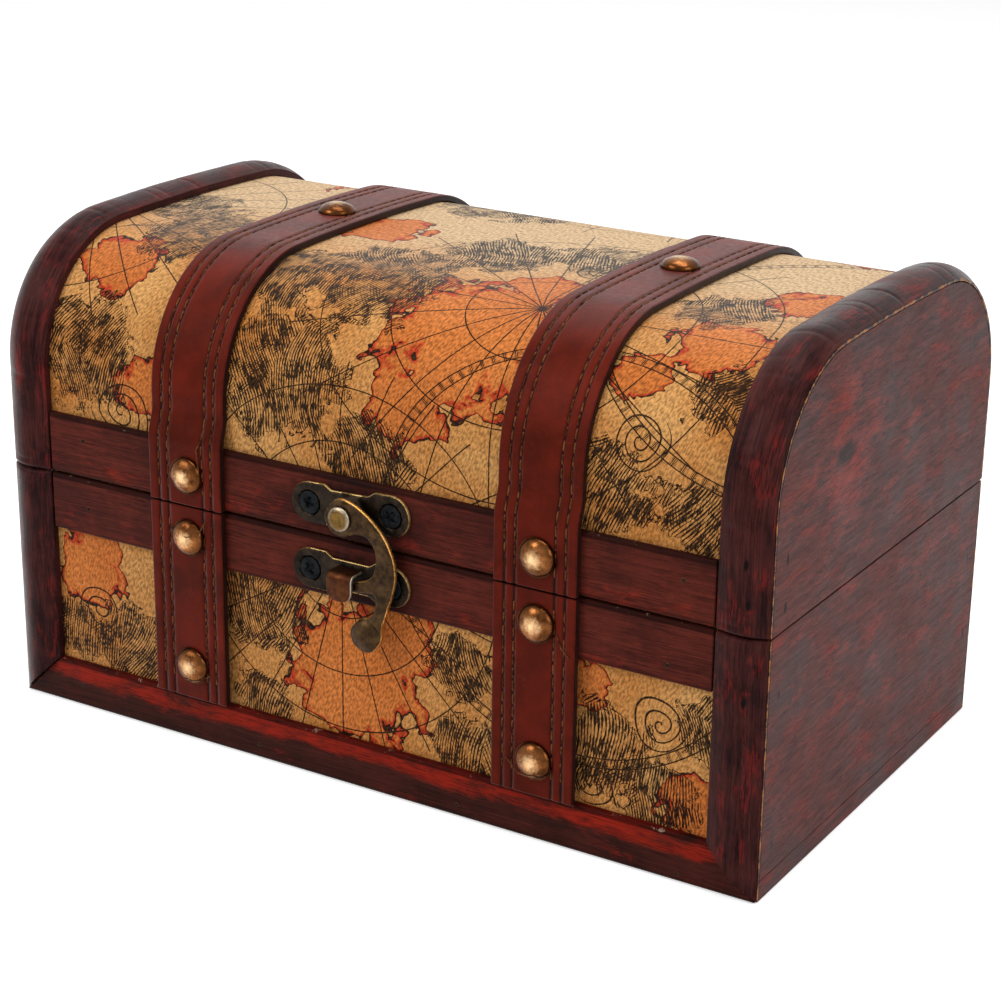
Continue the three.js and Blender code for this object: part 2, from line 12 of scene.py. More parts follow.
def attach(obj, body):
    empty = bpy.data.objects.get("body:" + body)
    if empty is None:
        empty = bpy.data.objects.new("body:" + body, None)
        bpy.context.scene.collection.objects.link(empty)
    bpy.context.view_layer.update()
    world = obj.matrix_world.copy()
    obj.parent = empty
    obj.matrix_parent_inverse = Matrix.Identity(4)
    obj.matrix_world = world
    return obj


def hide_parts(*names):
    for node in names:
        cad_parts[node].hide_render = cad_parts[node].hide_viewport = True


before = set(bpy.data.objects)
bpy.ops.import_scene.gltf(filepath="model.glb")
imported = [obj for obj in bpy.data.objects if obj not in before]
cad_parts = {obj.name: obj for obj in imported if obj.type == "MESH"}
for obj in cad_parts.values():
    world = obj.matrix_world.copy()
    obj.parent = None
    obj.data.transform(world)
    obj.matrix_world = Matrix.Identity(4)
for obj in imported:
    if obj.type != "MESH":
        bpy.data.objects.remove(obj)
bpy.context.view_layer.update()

MM = 0.001
TURN = 2 * math.pi

# Driving dimensions of the box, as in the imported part
box_length = 220
box_depth = 133
box_height = 130
split_height = 65.5
shoulder_radius = 36.5
crown_rise = 0.6

# Clearances
fit_gap = 0.2
split_gap = 0.5
rail_end_gap = 0.5
mitre_gap = 0.3

# Trims, rails and covers
end_panel_thickness = 8
bottom_thickness = 5
cover_thickness = 0.6
trim_width = 13
trim_thickness = 3.7
trim_inner_edge = 1.9
trim_outer_edge = 0.6
trim_back_rise = 1.5
rail_recess = 2
rail_round = 0.8
lid_rail_height = 16
top_rail_height = 15.4
bottom_rail_height = 12.5
trim_end_round = 1.3
kerf_pitch = 5.4
kerf_depth = 0.32
kerf_half_width = 0.8
kerf_drift = 2.4
kerf_drift_length = 11
kerf_uneven_length = 7
trim_end_steps = [0.0, 0.07, 0.2, 0.4, 0.7, 1.05]
wood_wave = 0.32
wood_wave_length = 9

# Straps, seams and tacks
strap_inset = 59
strap_width = 22.6
strap_thickness = 1.8
strap_round = 0.5
strap_ramp_height = 8
strap_sway = 0.12
strap_sway_length = 12
seam_insets = [3.1, 5.9]
seam_end_gap = 3.5
seam_groove_depth = 0.3
seam_groove_half_width = 0.5
stitch_pitch = 3.4
stitch_gap = 0.25
stitch_radius = 0.22
stitch_rise = 0.2
stitch_wander = 0.3
stitch_wander_length = 9
loose_thread_radius = 0.16
brad_radius = 0.6
brad_sink = 0.1
brad_edge = 0.02
brad_shoulder = 0.12
brad_height = 0.14
tack_radius = 5
tack_dome = 2.4
tack_dome_inset = 0.25
tack_foot_inset = 0.3
tack_sink = 0.15
tack_lip = 0.05
tack_lip_height = 0.35
tack_dent = 0.16
tack_dent_size = 2.4
tack_dent_height = 0.8
tip_radius = 0.02
lid_tack_rise = 8.3
upper_tack_drop = 8.2
lower_tack_share = 0.255
tack_shift = 0.8

# Latch, hook and keeper
latch_x = -1.4
latch_plate_rise = 8.9
latch_plate_turn = 0.045
keeper_drop = 8.8
latch_lobe_spacing = 23.8
latch_lobe_radius = 5.2
latch_lobe_length = 4.5
latch_waist_half = 3.9
latch_waist_run = 2
latch_plate_thickness = 1
plate_round = 0.45
plate_edge_depths = [0.08, 0.2, 0.35, 0.5]
metal_grid_step = 0.5
countersink_radius = 3.35
countersink_slope = 0.5
countersink_depth = 0.85
pivot_x = -1.8
pivot_rise = 7.5
boss_radius = 4.4
boss_height = 1.5
boss_slope = 0.8
hook_reach = 33.5
hook_thickness = 1.6
hook_round = 0.7
hook_edge_depths = [0.1, 0.28, 0.5, 0.75]
hook_least_half = 0.2
hook_neck_round = 1.8
hook_neck_half = 1.5
hook_neck_start = 12
hook_ball_radius = 4.5
hook_ball_thickness = 4.8
hook_ball_blend = [-0.5, 1.5]
rivet_radius = 1.5
rivet_head_radius = 3.1
rivet_head_height = 1.1
rivet_foot_inset = 0.25
rivet_edge = 0.12
tongue_width = 7.3
tongue_root = 0.3
tongue_drop = 6.2
tongue_height = 7
tongue_reach = 5.1
tongue_thickness = 1.2
tongue_corner_radius = 2.6
tongue_bend_radius = 1.3
screw_head_radius = 2.9
screw_sink = 0.05
screw_face = 0.06
screw_dome = 0.2
screw_rim_insets = [0.5, 0.3, 0, 0.08]
screw_rim_heights = [-0.75, -0.45, -0.12, 0.03]
cross_half_width = 0.42
cross_reach = 1.85
cross_depth = 0.85

# Wear of sharp edges, and how far the grain is moved along from one piece to the next
sharp_turn = math.radians(38)
worn_turn = math.radians(55)
rail_wear = 0.3
trim_wear = 0.4
strap_wear = 0.3
panel_wear = 0.35
bottom_wear = 0.4
rail_grain_shift = 61
lid_trim_grain_shift = 90
corner_trim_grain_shift = 150
side_grain_shift = 40

# Hook outline from its pivot, as shares of its reach
hook_ball_share = (0.21, -0.865)
hook_outline_share = [
    (-0.143, 0.009), (-0.101, -0.101), (-0.006, -0.143), (0.107, -0.107), (0.215, -0.104),
    (0.284, -0.179), (0.301, -0.269), (0.275, -0.376), (0.212, -0.436), (0.104, -0.477),
    (0.100, -0.543), (0.190, -0.537), (0.278, -0.531), (0.296, -0.609), (0.257, -0.704),
    (0.149, -0.752), (0.075, -0.863), (0.122, -0.968), (0.251, -0.988), (0.343, -0.884),
    (0.361, -0.734), (0.433, -0.525), (0.466, -0.376), (0.449, -0.233), (0.37, -0.075),
    (0.245, 0.045), (0.107, 0.125), (-0.036, 0.143),
]

# Planes that follow from the driving dimensions
half_length = box_length / 2
half_depth = box_depth / 2
base_top = split_height - split_gap / 2
lid_bottom = split_height + split_gap / 2
rail_face = half_depth - rail_recess
backing_face = half_depth - trim_thickness
inner_length = half_length - end_panel_thickness - fit_gap
rail_half = half_length - trim_width - rail_end_gap
trim_inner = half_length - trim_width
latch_back = rail_face + fit_gap
latch_face = latch_back + latch_plate_thickness
hook_back = latch_face + boss_height + fit_gap
hook_face = hook_back + hook_thickness
strap_centre = half_length - strap_inset
window_top = base_top - top_rail_height
window_height = window_top - bottom_rail_height
lower_tack_height = bottom_rail_height + window_height * lower_tack_share
upper_tack_height = split_height - upper_tack_drop
lid_tack_height = split_height + lid_tack_rise
latch_plate_height = split_height + latch_plate_rise
keeper_height = split_height - keeper_drop
pivot_height = split_height + pivot_rise
tongue_top = split_height - tongue_drop
cover_level = -(trim_thickness + fit_gap)
strap_rail_level = fit_gap - rail_recess
strap_cover_level = cover_level + fit_gap
shoulder_inset = half_depth - shoulder_radius
shoulder_height = box_height - crown_rise - shoulder_radius
crown_span = box_height - shoulder_height
crown_radius = (shoulder_inset ** 2 + crown_span ** 2 - shoulder_radius ** 2) / (crown_rise * 2)
crown_centre = box_height - crown_radius
shoulder_turn = math.atan2(shoulder_height - crown_centre, shoulder_inset)
wall_run = shoulder_height - lid_bottom
shoulder_run = shoulder_radius * shoulder_turn
crown_run = crown_radius * (math.pi - 2 * shoulder_turn)
lid_run = 2 * (wall_run + shoulder_run) + crown_run

ENDS = [("left", -1), ("right", 1)]
SIDES = [("front", -1), ("back", 1)]


# Shapes


def spread(count, start, end):
    """Evenly spaced values from start to end, in a count of steps"""
    return [start + (end - start) * i / count for i in range(count + 1)]


def eased(value, start, end):
    """Share of the way from start to end, which sets off and stops gently"""
    share = min(1.0, max(0.0, (value - start) / (end - start)))
    return share * share * (3 - 2 * share)


def arc_station(centre_y, centre_z, radius, angle):
    """A place on a round stretch of the lid with its outward direction"""
    out_y = -math.cos(angle)
    out_z = math.sin(angle)
    return centre_y + out_y * radius, centre_z + out_z * radius, out_y, out_z


def lid_station(run):
    """The place on the crown line of the lid's trims at a run from the front's lower edge"""
    if run > lid_run / 2:
        y, z, out_y, out_z = lid_station(lid_run - run)
        return -y, z, -out_y, out_z
    if run < wall_run:
        return -half_depth, lid_bottom + run, -1.0, 0.0
    if run < wall_run + shoulder_run:
        angle = (run - wall_run) / shoulder_radius
        return arc_station(-shoulder_inset, shoulder_height, shoulder_radius, angle)
    angle = shoulder_turn + (run - wall_run - shoulder_run) / crown_radius
    return arc_station(0.0, crown_centre, crown_radius, angle)


def wall_station(side, z):
    """The place on the base's front or back at a height, with its outward direction"""
    return side * half_depth, z, float(side), 0.0


def over(station, x, level):
    """The point at x that lies a level above a station"""
    y, z, out_y, out_z = station
    return Vector((x, y + out_y * level, z + out_z * level))


def corner_arc(x, height, radius, start, end, count=4):
    """Points of a rounded corner in x and height"""
    turns = spread(count, start, end)
    return [(x + math.cos(turn) * radius, height + math.sin(turn) * radius) for turn in turns]


def lengths_round(section):
    """How far each point of a section lies from its first, along the section"""
    lengths = [0.0]
    for a, b in zip(section, section[1:]):
        lengths.append(lengths[-1] + math.dist(a, b))
    return lengths


def ring_skin(rows, across, along, rims):
    """Closed skin over rows of points, capped at both ends, with its place in print and its share of rim"""
    count = len(rows[0])
    last = (len(rows) - 1) * count
    faces = [tuple(range(count)), tuple(range(last, last + count))]
    for start in range(0, last, count):
        for i in range(count):
            a = start + i
            b = start + (i + 1) % count
            faces.append((a, b, b + count, a + count))
    points = [point for row in rows for point in row]
    prints = [(u, v) for v in along for u in across]
    return points, faces, prints, list(rims) * len(rows)


def swept_skin(section, rims, runs, place_at, along=None):
    """Closed skin that carries a section along runs: place_at gives a place from a run and a point"""
    rows = [[place_at(run, *point) for point in section] for run in runs]
    return ring_skin(rows, lengths_round(section), along or runs, rims)


def turned_skin(profile, foot, out, sides, push=None):
    """Turned piece: its profile lists radius and height, and push moves its points along the axis"""
    out = Vector(out)
    foot = Vector(foot)
    right = Vector((1, 0, 0))
    up = out.cross(right)
    rows = []
    for radius, height in profile:
        row = []
        for i in range(sides):
            u = math.cos(TURN * i / sides) * radius
            v = math.sin(TURN * i / sides) * radius
            raised = height + (push(u, v, height) if push else 0)
            row.append(foot + right * u + up * v + out * raised)
        rows.append(row)
    widest = max(radius for radius, _ in profile)
    along = [radius for radius, _ in profile]
    points, faces, prints, _ = ring_skin(rows, spread(sides - 1, 0, TURN * widest), along, [])
    rims = [radius / widest for radius in along for _ in range(sides)]
    return points, faces, prints, rims


def rim_distance(outline, x, z):
    """How far a point lies from a closed outline"""
    best = math.inf
    for (ax, az), (bx, bz) in zip(outline, outline[1:] + outline[:1]):
        run_x = bx - ax
        run_z = bz - az
        share = ((x - ax) * run_x + (z - az) * run_z) / (run_x ** 2 + run_z ** 2)
        share = min(1.0, max(0.0, share))
        best = min(best, math.hypot(x - ax - run_x * share, z - az - run_z * share))
    return best


def is_inside(outline, x, z):
    inside = False
    for (ax, az), (bx, bz) in zip(outline, outline[1:] + outline[:1]):
        if (az > z) != (bz > z) and x < (bx - ax) * (z - az) / (bz - az) + ax:
            inside = not inside
    return inside


def inset_points(outline, depths):
    """Points just inside an outline, at several depths, which carry its rounded edge"""
    found = []
    count = len(outline)
    for i, (x, z) in enumerate(outline):
        before = Vector(outline[i - 1])
        after = Vector(outline[(i + 1) % count])
        way = (after - before).normalized()
        inward = Vector((-way.y, way.x))
        for depth in depths:
            spot = Vector((x, z)) + inward * depth
            if is_inside(outline, *spot) and rim_distance(outline, *spot) > depth * 0.9:
                found.append(tuple(spot))
    return found


def cast_skin(outline, front, back, edge_depths, grid_step):
    """Flat metal piece in an outline; front and back give y from x, z and the depth from the rim"""
    xs = [x for x, _ in outline]
    zs = [z for _, z in outline]
    columns = int((max(xs) - min(xs)) / grid_step)
    levels = int((max(zs) - min(zs)) / grid_step)
    inner = inset_points(outline, edge_depths)
    for x in spread(columns, min(xs), max(xs)):
        for z in spread(levels, min(zs), max(zs)):
            if is_inside(outline, x, z) and rim_distance(outline, x, z) > max(edge_depths):
                inner.append((x, z))
    flat = [Vector(spot) for spot in outline + inner]
    ring = list(range(len(outline)))
    corner_nearness = 1e-5
    spots, _, triangles, origins, _, _ = geometry.delaunay_2d_cdt(flat, [], [ring], 1, corner_nearness)
    depths = [rim_distance(outline, spot.x, spot.y) for spot in spots]
    fronts = [Vector((p.x, front(p.x, p.y, d), p.y)) for p, d in zip(spots, depths)]
    backs = [Vector((p.x, back(p.x, p.y, d), p.y)) for p, d in zip(spots, depths)]
    count = len(spots)
    faces = [tuple(face) for face in triangles]
    faces += [tuple(count + i for i in reversed(face)) for face in triangles]
    made = {origin: i for i, group in enumerate(origins) for origin in group}
    for i in ring:
        a = made[i]
        b = made[(i + 1) % len(outline)]
        faces.append((b, a, a + count, b + count))
    prints = [(p.x, p.y) for p in spots] * 2
    rims = [1 - min(1.0, d / max(edge_depths)) for d in depths] * 2
    return fronts + backs, faces, prints, rims


def make_piece(name, body, material, skins, stands_for=(), print_shift=0.0, bevel=0.0):
    """Joins skins in one object that rides on a body and stands for CAD nodes. Its map named run holds each
    point's place across and along its strip, in millimetres, and its attribute named rim the share of rim."""
    points = []
    faces = []
    prints = []
    rims = []
    for skin_points, skin_faces, skin_prints, skin_rims in skins:
        start = len(points)
        points += [point * MM for point in skin_points]
        faces += [[start + i for i in face] for face in skin_faces]
        prints += skin_prints
        rims += skin_rims
    mesh = bpy.data.meshes.new(name)
    mesh.from_pydata(points, [], faces)
    layer = mesh.uv_layers.new(name="run")
    for loop in mesh.loops:
        u, v = prints[loop.vertex_index]
        layer.data[loop.index].uv = (u, v + print_shift)
    rim = mesh.attributes.new("rim", "FLOAT", "POINT")
    rim.data.foreach_set("value", rims)
    shell = bmesh.new()
    shell.from_mesh(mesh)
    bmesh.ops.recalc_face_normals(shell, faces=shell.faces)
    shell.to_mesh(mesh)
    shell.free()
    mesh.shade_smooth()
    mesh.set_sharp_from_angle(angle=sharp_turn)
    mesh.materials.append(material)
    piece = bpy.data.objects.new(name, mesh)
    bpy.context.scene.collection.objects.link(piece)
    if bevel:
        round_edges(piece, bevel)
    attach(piece, body)
    if stands_for:
        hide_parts(*stands_for)


def round_edges(piece, width):
    """Takes the sharpness off a piece's long edges"""
    modifier = piece.modifiers.new("worn_edges", "BEVEL")
    modifier.width = width * MM
    modifier.segments = 3
    modifier.limit_method = "ANGLE"
    modifier.angle_limit = worn_turn


def dress_node(name, material, bevel=0.0):
    """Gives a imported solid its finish"""
    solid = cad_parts[name]
    solid.data.materials.clear()
    solid.data.materials.append(material)
    if bevel:
        round_edges(solid, bevel)


# Materials


def linear(code):
    """Linear colour of an sRGB hex value"""
    shades = [int(code[i:i + 2], 16) / 255 for i in (1, 3, 5)]
    return [s / 12.92 if s <= 0.04045 else ((s + 0.055) / 1.055) ** 2.4 for s in shades] + [1.0]


# Kinds of node: Blender's name, the sockets that values feed in order, the output given and fixed settings
node_kinds = {
    "add shaders": ("AddShader", (0, 1), 0, {}),
    "attribute": ("Attribute", (), "Fac", {}),
    "background": ("Background", ("Color", "Strength"), 0, {}),
    "bump": ("Bump", ("Height", "Strength", "Distance"), 0, {}),
    "cells": ("TexVoronoi", ("Vector", "Scale"), 0, {}),
    "coordinates": ("TexCoord", (), "Object", {}),
    "edge on": ("LayerWeight", ("Blend",), "Facing", {}),
    "glow": ("Emission", ("Color", "Strength"), 0, {}),
    "light paths": ("LightPath", (), "Is Camera Ray", {}),
    "matt paint": ("BsdfDiffuse", ("Color",), 0, {}),
    "mix": ("Mix", (0, 6, 7), 2, {"data_type": "RGBA"}),
    "mix shaders": ("MixShader", (0, 1, 2), 0, {}),
    "noise": ("TexNoise", ("Vector", "Scale", "Detail", "Roughness", "Distortion"), 0, {}),
    "range": ("MapRange", ("Value", "From Min", "From Max", "To Min", "To Max"), 0, {}),
    "split": ("SeparateXYZ", (0,), 0, {}),
    "strip map": ("UVMap", (), 0, {}),
    "turn": ("VectorRotate", ("Vector", "Angle"), 0, {"rotation_type": "Z_AXIS"}),
    "vector scale": ("VectorMath", (0, "Scale"), 0, {"operation": "SCALE"}),
    "wave": ("TexWave", ("Vector", "Scale", "Distortion"), 1, {}),
}
for sum_name in ["absolute", "add", "arctan2", "compare", "greater than", "less than", "maximum", "multiply",
                 "multiply add", "pingpong", "subtract"]:
    operation = {"operation": sum_name.replace(" ", "_").upper()}
    node_kinds[sum_name] = ("Math", (0, 1, 2), 0, operation)
for sum_name, given in [("distance", 1), ("divide", 0), ("length", 1), ("multiply", 0), ("multiply add", 0),
                        ("subtract", 0)]:
    operation = {"operation": sum_name.replace(" ", "_").upper()}
    node_kinds[f"vector {sum_name}"] = ("VectorMath", (0, 1, 2), given, operation)


def feed(tree, node, feeds):
    """Links or sets a node's sockets; a hex value becomes its linear colour"""
    for socket, value in feeds.items():
        if isinstance(value, bpy.types.NodeSocket):
            tree.links.new(value, node.inputs[socket])
        else:
            node.inputs[socket].default_value = linear(value) if isinstance(value, str) else value


def add_node(tree, kind, *values, out=None, **settings):
    """Adds a node with its settings and links, and gives one of its outputs"""
    name, sockets, usual_out, usual_settings = node_kinds[kind]
    node = tree.nodes.new("ShaderNode" + name)
    for setting, value in {**usual_settings, **settings}.items():
        setattr(node, setting, value)
    feed(tree, node, dict(zip(sockets, values)))
    return node.outputs[usual_out if out is None else out]


def empty_tree(owner):
    owner.use_nodes = True
    owner.node_tree.nodes.clear()
    return owner.node_tree


def new_material(name):
    """A material, with the function that adds its nodes and the one that feeds its shader"""
    material = bpy.data.materials.new(name)
    tree = empty_tree(material)
    shader = tree.nodes.new("ShaderNodeBsdfPrincipled")
    output = tree.nodes.new("ShaderNodeOutputMaterial")
    tree.links.new(shader.outputs[0], output.inputs[0])
    return material, partial(add_node, tree), partial(feed, tree, shader)


def per(sizes):
    """Scales of a pattern that has these sizes along the axes"""
    return [1 / size for size in sizes]


def object_place(put):
    """Place in the object's frame, in millimetres"""
    place = put("coordinates")
    return put("vector scale", place, 1 / MM)


def patches(put, place, size, detail, roughness, *levels):
    """Share of uneven patches of a size: levels are the noise without and with them, then the shares there"""
    uneven = put("noise", place, 1 / size, detail, roughness)
    return put("range", uneven, *levels)


def waves(put, value, count):
    """Zero at each of a count of places in one unit of the value, and a half midway between them"""
    value = put("multiply", value, float(count))
    return put("pingpong", value, 0.5)


def gloss_at_grazing(put, strongest):
    """Level of gloss: next to none seen straight on, and strong where the surface is seen edge on"""
    facing = put("edge on", 0.5)
    return put("range", facing, 0.25, 0.7, 0.03, strongest)


noise_mean = (0.5, 0.5, 0.5)


def marks_field(put, place, marks):
    """Small dark marks: each has its middle, its reach, how it is stretched and how dark it is"""
    wobble_size = 2.5
    wobble_share = 0.6
    core_share = 0.5
    uneven = put("noise", place, 1 / wobble_size, 4.0, out=1)
    uneven = put("vector subtract", uneven, noise_mean)
    field = None
    for middle, reach, stretch, strength in marks:
        wobbly = put("vector multiply add", uneven, (reach * wobble_share,) * 3, place)
        arm = put("vector subtract", wobbly, middle)
        arm = put("vector divide", arm, stretch)
        gap = put("vector length", arm)
        dome = put("range", gap, reach, reach * core_share, 0, strength)
        field = put("maximum", field, dome) if field else dome
    return field


def stained_wood(name, tones, grain, rough, red_from, worn_from, follows_run=True, red_band=None,
                 red_round=None, marks=(), sheen=0.09):
    """Softwood under a dark stain: streaks along the grain, red where the stain is thin, dark at its edges,
    and a red band up the section, which on the bottom rails is a painted highlight
    """
    wander_size = 14
    wander_share = (0.8, 0.8, 0.8)
    fibres_per_streak = 4.3
    blotch_size = 17
    thin_stain_size = (5, 17, 5)
    rub_size = 2.6
    relief_depth = 0.25
    dark, mid, red, worn = tones
    material, put, finish = new_material(name)
    solid = object_place(put)
    strip = put("strip map", uv_map="run") if follows_run else solid
    along = put("vector multiply", strip, per(grain))
    wander = put("noise", solid, 1 / wander_size, 2.0, out=1)
    along = put("vector multiply add", wander, wander_share, along)
    streaks = put("noise", along, 1.0, 9.0, 0.68)
    fine = put("noise", along, fibres_per_streak, 5.0, 0.65)
    blotch = put("noise", solid, 1 / blotch_size, 6.0, 0.65)
    mixed = put("add", streaks, blotch)
    depth = put("range", mixed, 0.82, 1.2)
    body = put("mix", depth, dark, mid)
    thin = put("vector multiply", strip, per(thin_stain_size))
    thin = put("noise", thin, 1.0, 8.0, 0.7, 0.3)
    thin = put("multiply add", fine, 0.3, thin)
    # A red band up the section: thinner stain low on the lid and top rails, and on the bottom rails a painted
    # highlight along the upper face. It joins the thin-stain share below.
    if red_band:
        height = put("split", strip)
        without, within, strongest = red_band
        band = put("range", height, without, within, 0, strongest)
        thin = put("add", thin, band)
    if red_round:
        middle, without, within, strongest = red_round
        gap = put("vector distance", solid, middle)
        ring = put("range", gap, without, within, 0, strongest)
        thin = put("add", thin, ring)
    thin = put("range", thin, red_from, red_from + 0.22)
    body = put("mix", thin, body, red)
    pores = put("range", fine, 0.38, 0.52, 0.55)
    body = put("mix", 1.0, body, pores, blend_type="MULTIPLY")
    rim = put("attribute", attribute_name="rim")
    grimy = put("range", rim, 0.1, 0.6, 1.0, 0.3)
    body = put("mix", 1.0, body, grimy, blend_type="MULTIPLY")
    rubbed = put("noise", solid, 1 / rub_size, 6.0, 0.72)
    rubbed = put("multiply add", rim, 0.5, rubbed)
    rubbed = put("range", rubbed, worn_from, worn_from + 0.1)
    rubbed = put("multiply", rubbed, rim)
    body = put("mix", rubbed, body, worn)
    # Dark marks: brad slots, a knot, and on the rails grime with a painted shadow round the latch plates
    if marks:
        spots = marks_field(put, solid, marks)
        body = put("mix", spots, body, "#120b0c")
    dull = put("range", blotch, 0.35, 0.65, rough - 0.1, rough + 0.12)
    relief = put("multiply add", fine, 0.5, streaks)
    normal = put("bump", relief, 0.55, relief_depth * MM)
    gleam = gloss_at_grazing(put, sheen)
    finish({"Base Color": body, "Roughness": dull, "Normal": normal, "Specular IOR Level": gleam})
    return material


def strap_leather():
    """Finished cowhide, deep red-brown and softly shiny, with black creases and painted shade by the seams,
    and black edges
    """
    cloud_size = 13
    scuff_size = 3.1
    edge_wander = 1.1
    pebble_size = 0.6
    crease_size = 1.6
    relief_depth = 0.16
    material, put, finish = new_material("finished_strap_leather")
    solid = object_place(put)
    cloud = patches(put, solid, cloud_size, 6.0, 0.62, 0.34, 0.68)
    body = put("mix", cloud, "#43140b", "#611c10")
    scuffs = patches(put, solid, scuff_size, 8.0, 0.75, 0.58, 0.78, 0, 0.45)
    body = put("mix", scuffs, body, "#74291b")
    rim = put("attribute", attribute_name="rim")
    # Dark by the seams' grooves and the round edges: creases, and painted shade in the grooves
    uneven = put("noise", solid, 1 / edge_wander, 4.0, 0.7)
    seam_crease_and_shade = put("multiply add", uneven, 0.5, rim)
    seam_crease_and_shade = put("range", seam_crease_and_shade, 0.38, 0.68, 0, 0.9)
    body = put("mix", seam_crease_and_shade, body, "#1d0c0a")
    paint = put("range", rim, 0.82, 0.95)
    body = put("mix", paint, body, "#200d09")
    pebbles = put("cells", solid, 1 / pebble_size, feature="F1")
    creases = put("noise", solid, 1 / crease_size, 6.0, 0.65)
    relief = put("multiply add", pebbles, 0.4, creases)
    normal = put("bump", relief, 0.45, relief_depth * MM)
    rough = put("range", creases, 0.3, 0.7, 0.36, 0.52)
    gleam = gloss_at_grazing(put, 0.3)
    finish({"Base Color": body, "Roughness": rough, "Normal": normal, "Specular IOR Level": gleam})
    return material


def seam_thread():
    """Waxed linen thread in dull brown, twisted tight and dirty in places"""
    dirt_size = 2.3
    twist_pitch = 0.9
    twist_depth = 0.08
    material, put, finish = new_material("waxed_linen_thread")
    solid = object_place(put)
    age = patches(put, solid, dirt_size, 5.0, 0.7, 0.4, 0.62)
    body = put("mix", age, "#34190d", "#74492c")
    twist = put("wave", solid, 1 / twist_pitch, 1.0)
    normal = put("bump", twist, 0.6, twist_depth * MM)
    finish({"Base Color": body, "Roughness": 0.8, "Normal": normal, "Specular IOR Level": 0.05})
    return material


def worn_metal(name, tones, rough, rim_from, speck_size, relief_depth, painted_highlight_and_rim_reflection=0.0):
    """Plated metal that has aged: dark film in the hollows, bright where hands rub it. It also takes painted
    light: on the tacks a highlight on the crown and a dark reflection round the rim, on the tongue a
    highlight along its right edge.
    """
    cloud_size = speck_size * 3
    film, body_tone, bright = tones
    material, put, finish = new_material(name)
    solid = object_place(put)
    age = patches(put, solid, cloud_size, 7.0, 0.68, 0.36, 0.66)
    body = put("mix", age, film, body_tone)
    rim = put("attribute", attribute_name="rim")
    specks = put("noise", solid, 1 / speck_size, 6.0, 0.7)
    rubbed = put("multiply add", specks, 0.5, rim)
    rubbed = put("range", rubbed, rim_from, rim_from + 0.22)
    body = put("mix", rubbed, body, bright)
    # Painted light for the domed tacks: a highlight on the crown and a dark reflection of the strap round the
    # rim
    if painted_highlight_and_rim_reflection:
        crown = put("multiply add", specks, 0.9, rim)
        crown = put("range", crown, 0.98, 0.45, 0, 0.9)
        body = put("mix", crown, body, bright)
        painted_rim_reflection = put("range", rim, 0.55, 0.97, 0, painted_highlight_and_rim_reflection)
        body = put("mix", painted_rim_reflection, body, film)
    dull = put("range", specks, 0.3, 0.7, rough, rough + 0.22)
    normal = put("bump", specks, 0.5, relief_depth * MM)
    finish({"Base Color": body, "Metallic": 1.0, "Roughness": dull, "Normal": normal})
    return material


# Printed leatherette. Its chart is made up from spots of land, engraved tufts, compass roses, scale rings and
# scrolls. Their places are in millimetres across from the middle and up from the lid's lower front edge, and
# run on below zero over the base.

line_half = 0.18
land_spots = [
    (-84, 64, 13), (-66, 28, 9), (22, 60, 25), (12, 38, 13), (-33, 112, 13), (32, 86, 12),
    (84, 72, 13), (70, 58, 8), (92, 106, 12), (-86, -26, 12), (-2, -36, 21), (10, -24, 13),
    (92, -46, 10), (62, -22, 8), (-60, 170, 26), (30, 200, 30), (86, 165, 16), (-10, 262, 22),
]
tuft_spots = [
    (-86, 36, 17), (-70, 86, 21), (-90, 104, 15), (-26, 40, 21), (-12, 78, 23), (-33, 72, 17),
    (2, 20, 14), (6, 106, 17), (30, 116, 14), (76, 92, 13), (92, 56, 10), (66, 26, 14), (90, 24, 10),
    (-74, -46, 14), (-92, -44, 10), (-31, -24, 15), (-30, -50, 9), (28, -26, 10), (32, -50, 12),
    (68, -38, 14), (84, -46, 11), (96, -26, 10), (-20, 165, 28), (60, 225, 26), (-80, 215, 24),
    (20, 270, 18), (-70, 280, 16),
]

# Roses have a centre, a count of rays, the gap between their rings and a reach
compass_roses = [
    ((36, 74), 20, 19.0, 66.0), ((-110, 96), 28, 23.0, 62.0), ((-6, -6), 24, 15.0, 52.0),
    ((10, 230), 24, 21.0, 90.0),
]

# Scale rings have a centre, a radius and a count of blocks
scale_rings = [((112, 92), 62.0, 130), ((60, 10), 52.0, 110)]
scale_half_width = 1.2

# Scrolls have a centre, a reach and the way they wind
scroll_gap = 2.6
scroll_spots = [
    (74, 40, 8, 1), (-74, 20, 9, -1), (82, -26, 8, 1), (66, -46, 6, -1), (-84, -36, 7, 1), (36, 106, 8, -1),
]

# Engraved strokes have the size of a bundle, their pitch and their bend
main_strokes = (20, 0.78, 0.035)
crossing_strokes = (15, 0.74, 0.02)
stroke_break_size = (5, 1.1, 1)


def spots_field(put, place, spots):
    """Highest of the spots' domes: one at a spot's middle and zero at its radius"""
    field = None
    for u, v, radius in spots:
        gap = put("vector distance", place, (u, v, 0))
        dome = put("multiply add", gap, -1 / radius, 1.0)
        field = put("maximum", field, dome) if field else dome
    return field


def polar_place(put, place, centre):
    """Radius and angle in turns round a point of the chart"""
    arm = put("vector subtract", place, (*centre, 0))
    radius = put("vector length", arm)
    across = put("split", arm)
    angle = put("arctan2", across.node.outputs[1], across)
    return radius, put("multiply", angle, 1 / TURN)


def rose_lines(put, place, centre, rays, ring_gap, reach):
    """Thin rays and rings round a compass point"""
    radius, turn = polar_place(put, place, centre)
    ray = put("multiply", waves(put, turn, rays), radius)
    ray = put("less than", ray, line_half * rays / TURN)
    ring = put("pingpong", radius, ring_gap / 2)
    ring = put("less than", ring, line_half)
    lines = put("maximum", ray, ring)
    near = put("less than", radius, reach)
    return put("multiply", lines, near)


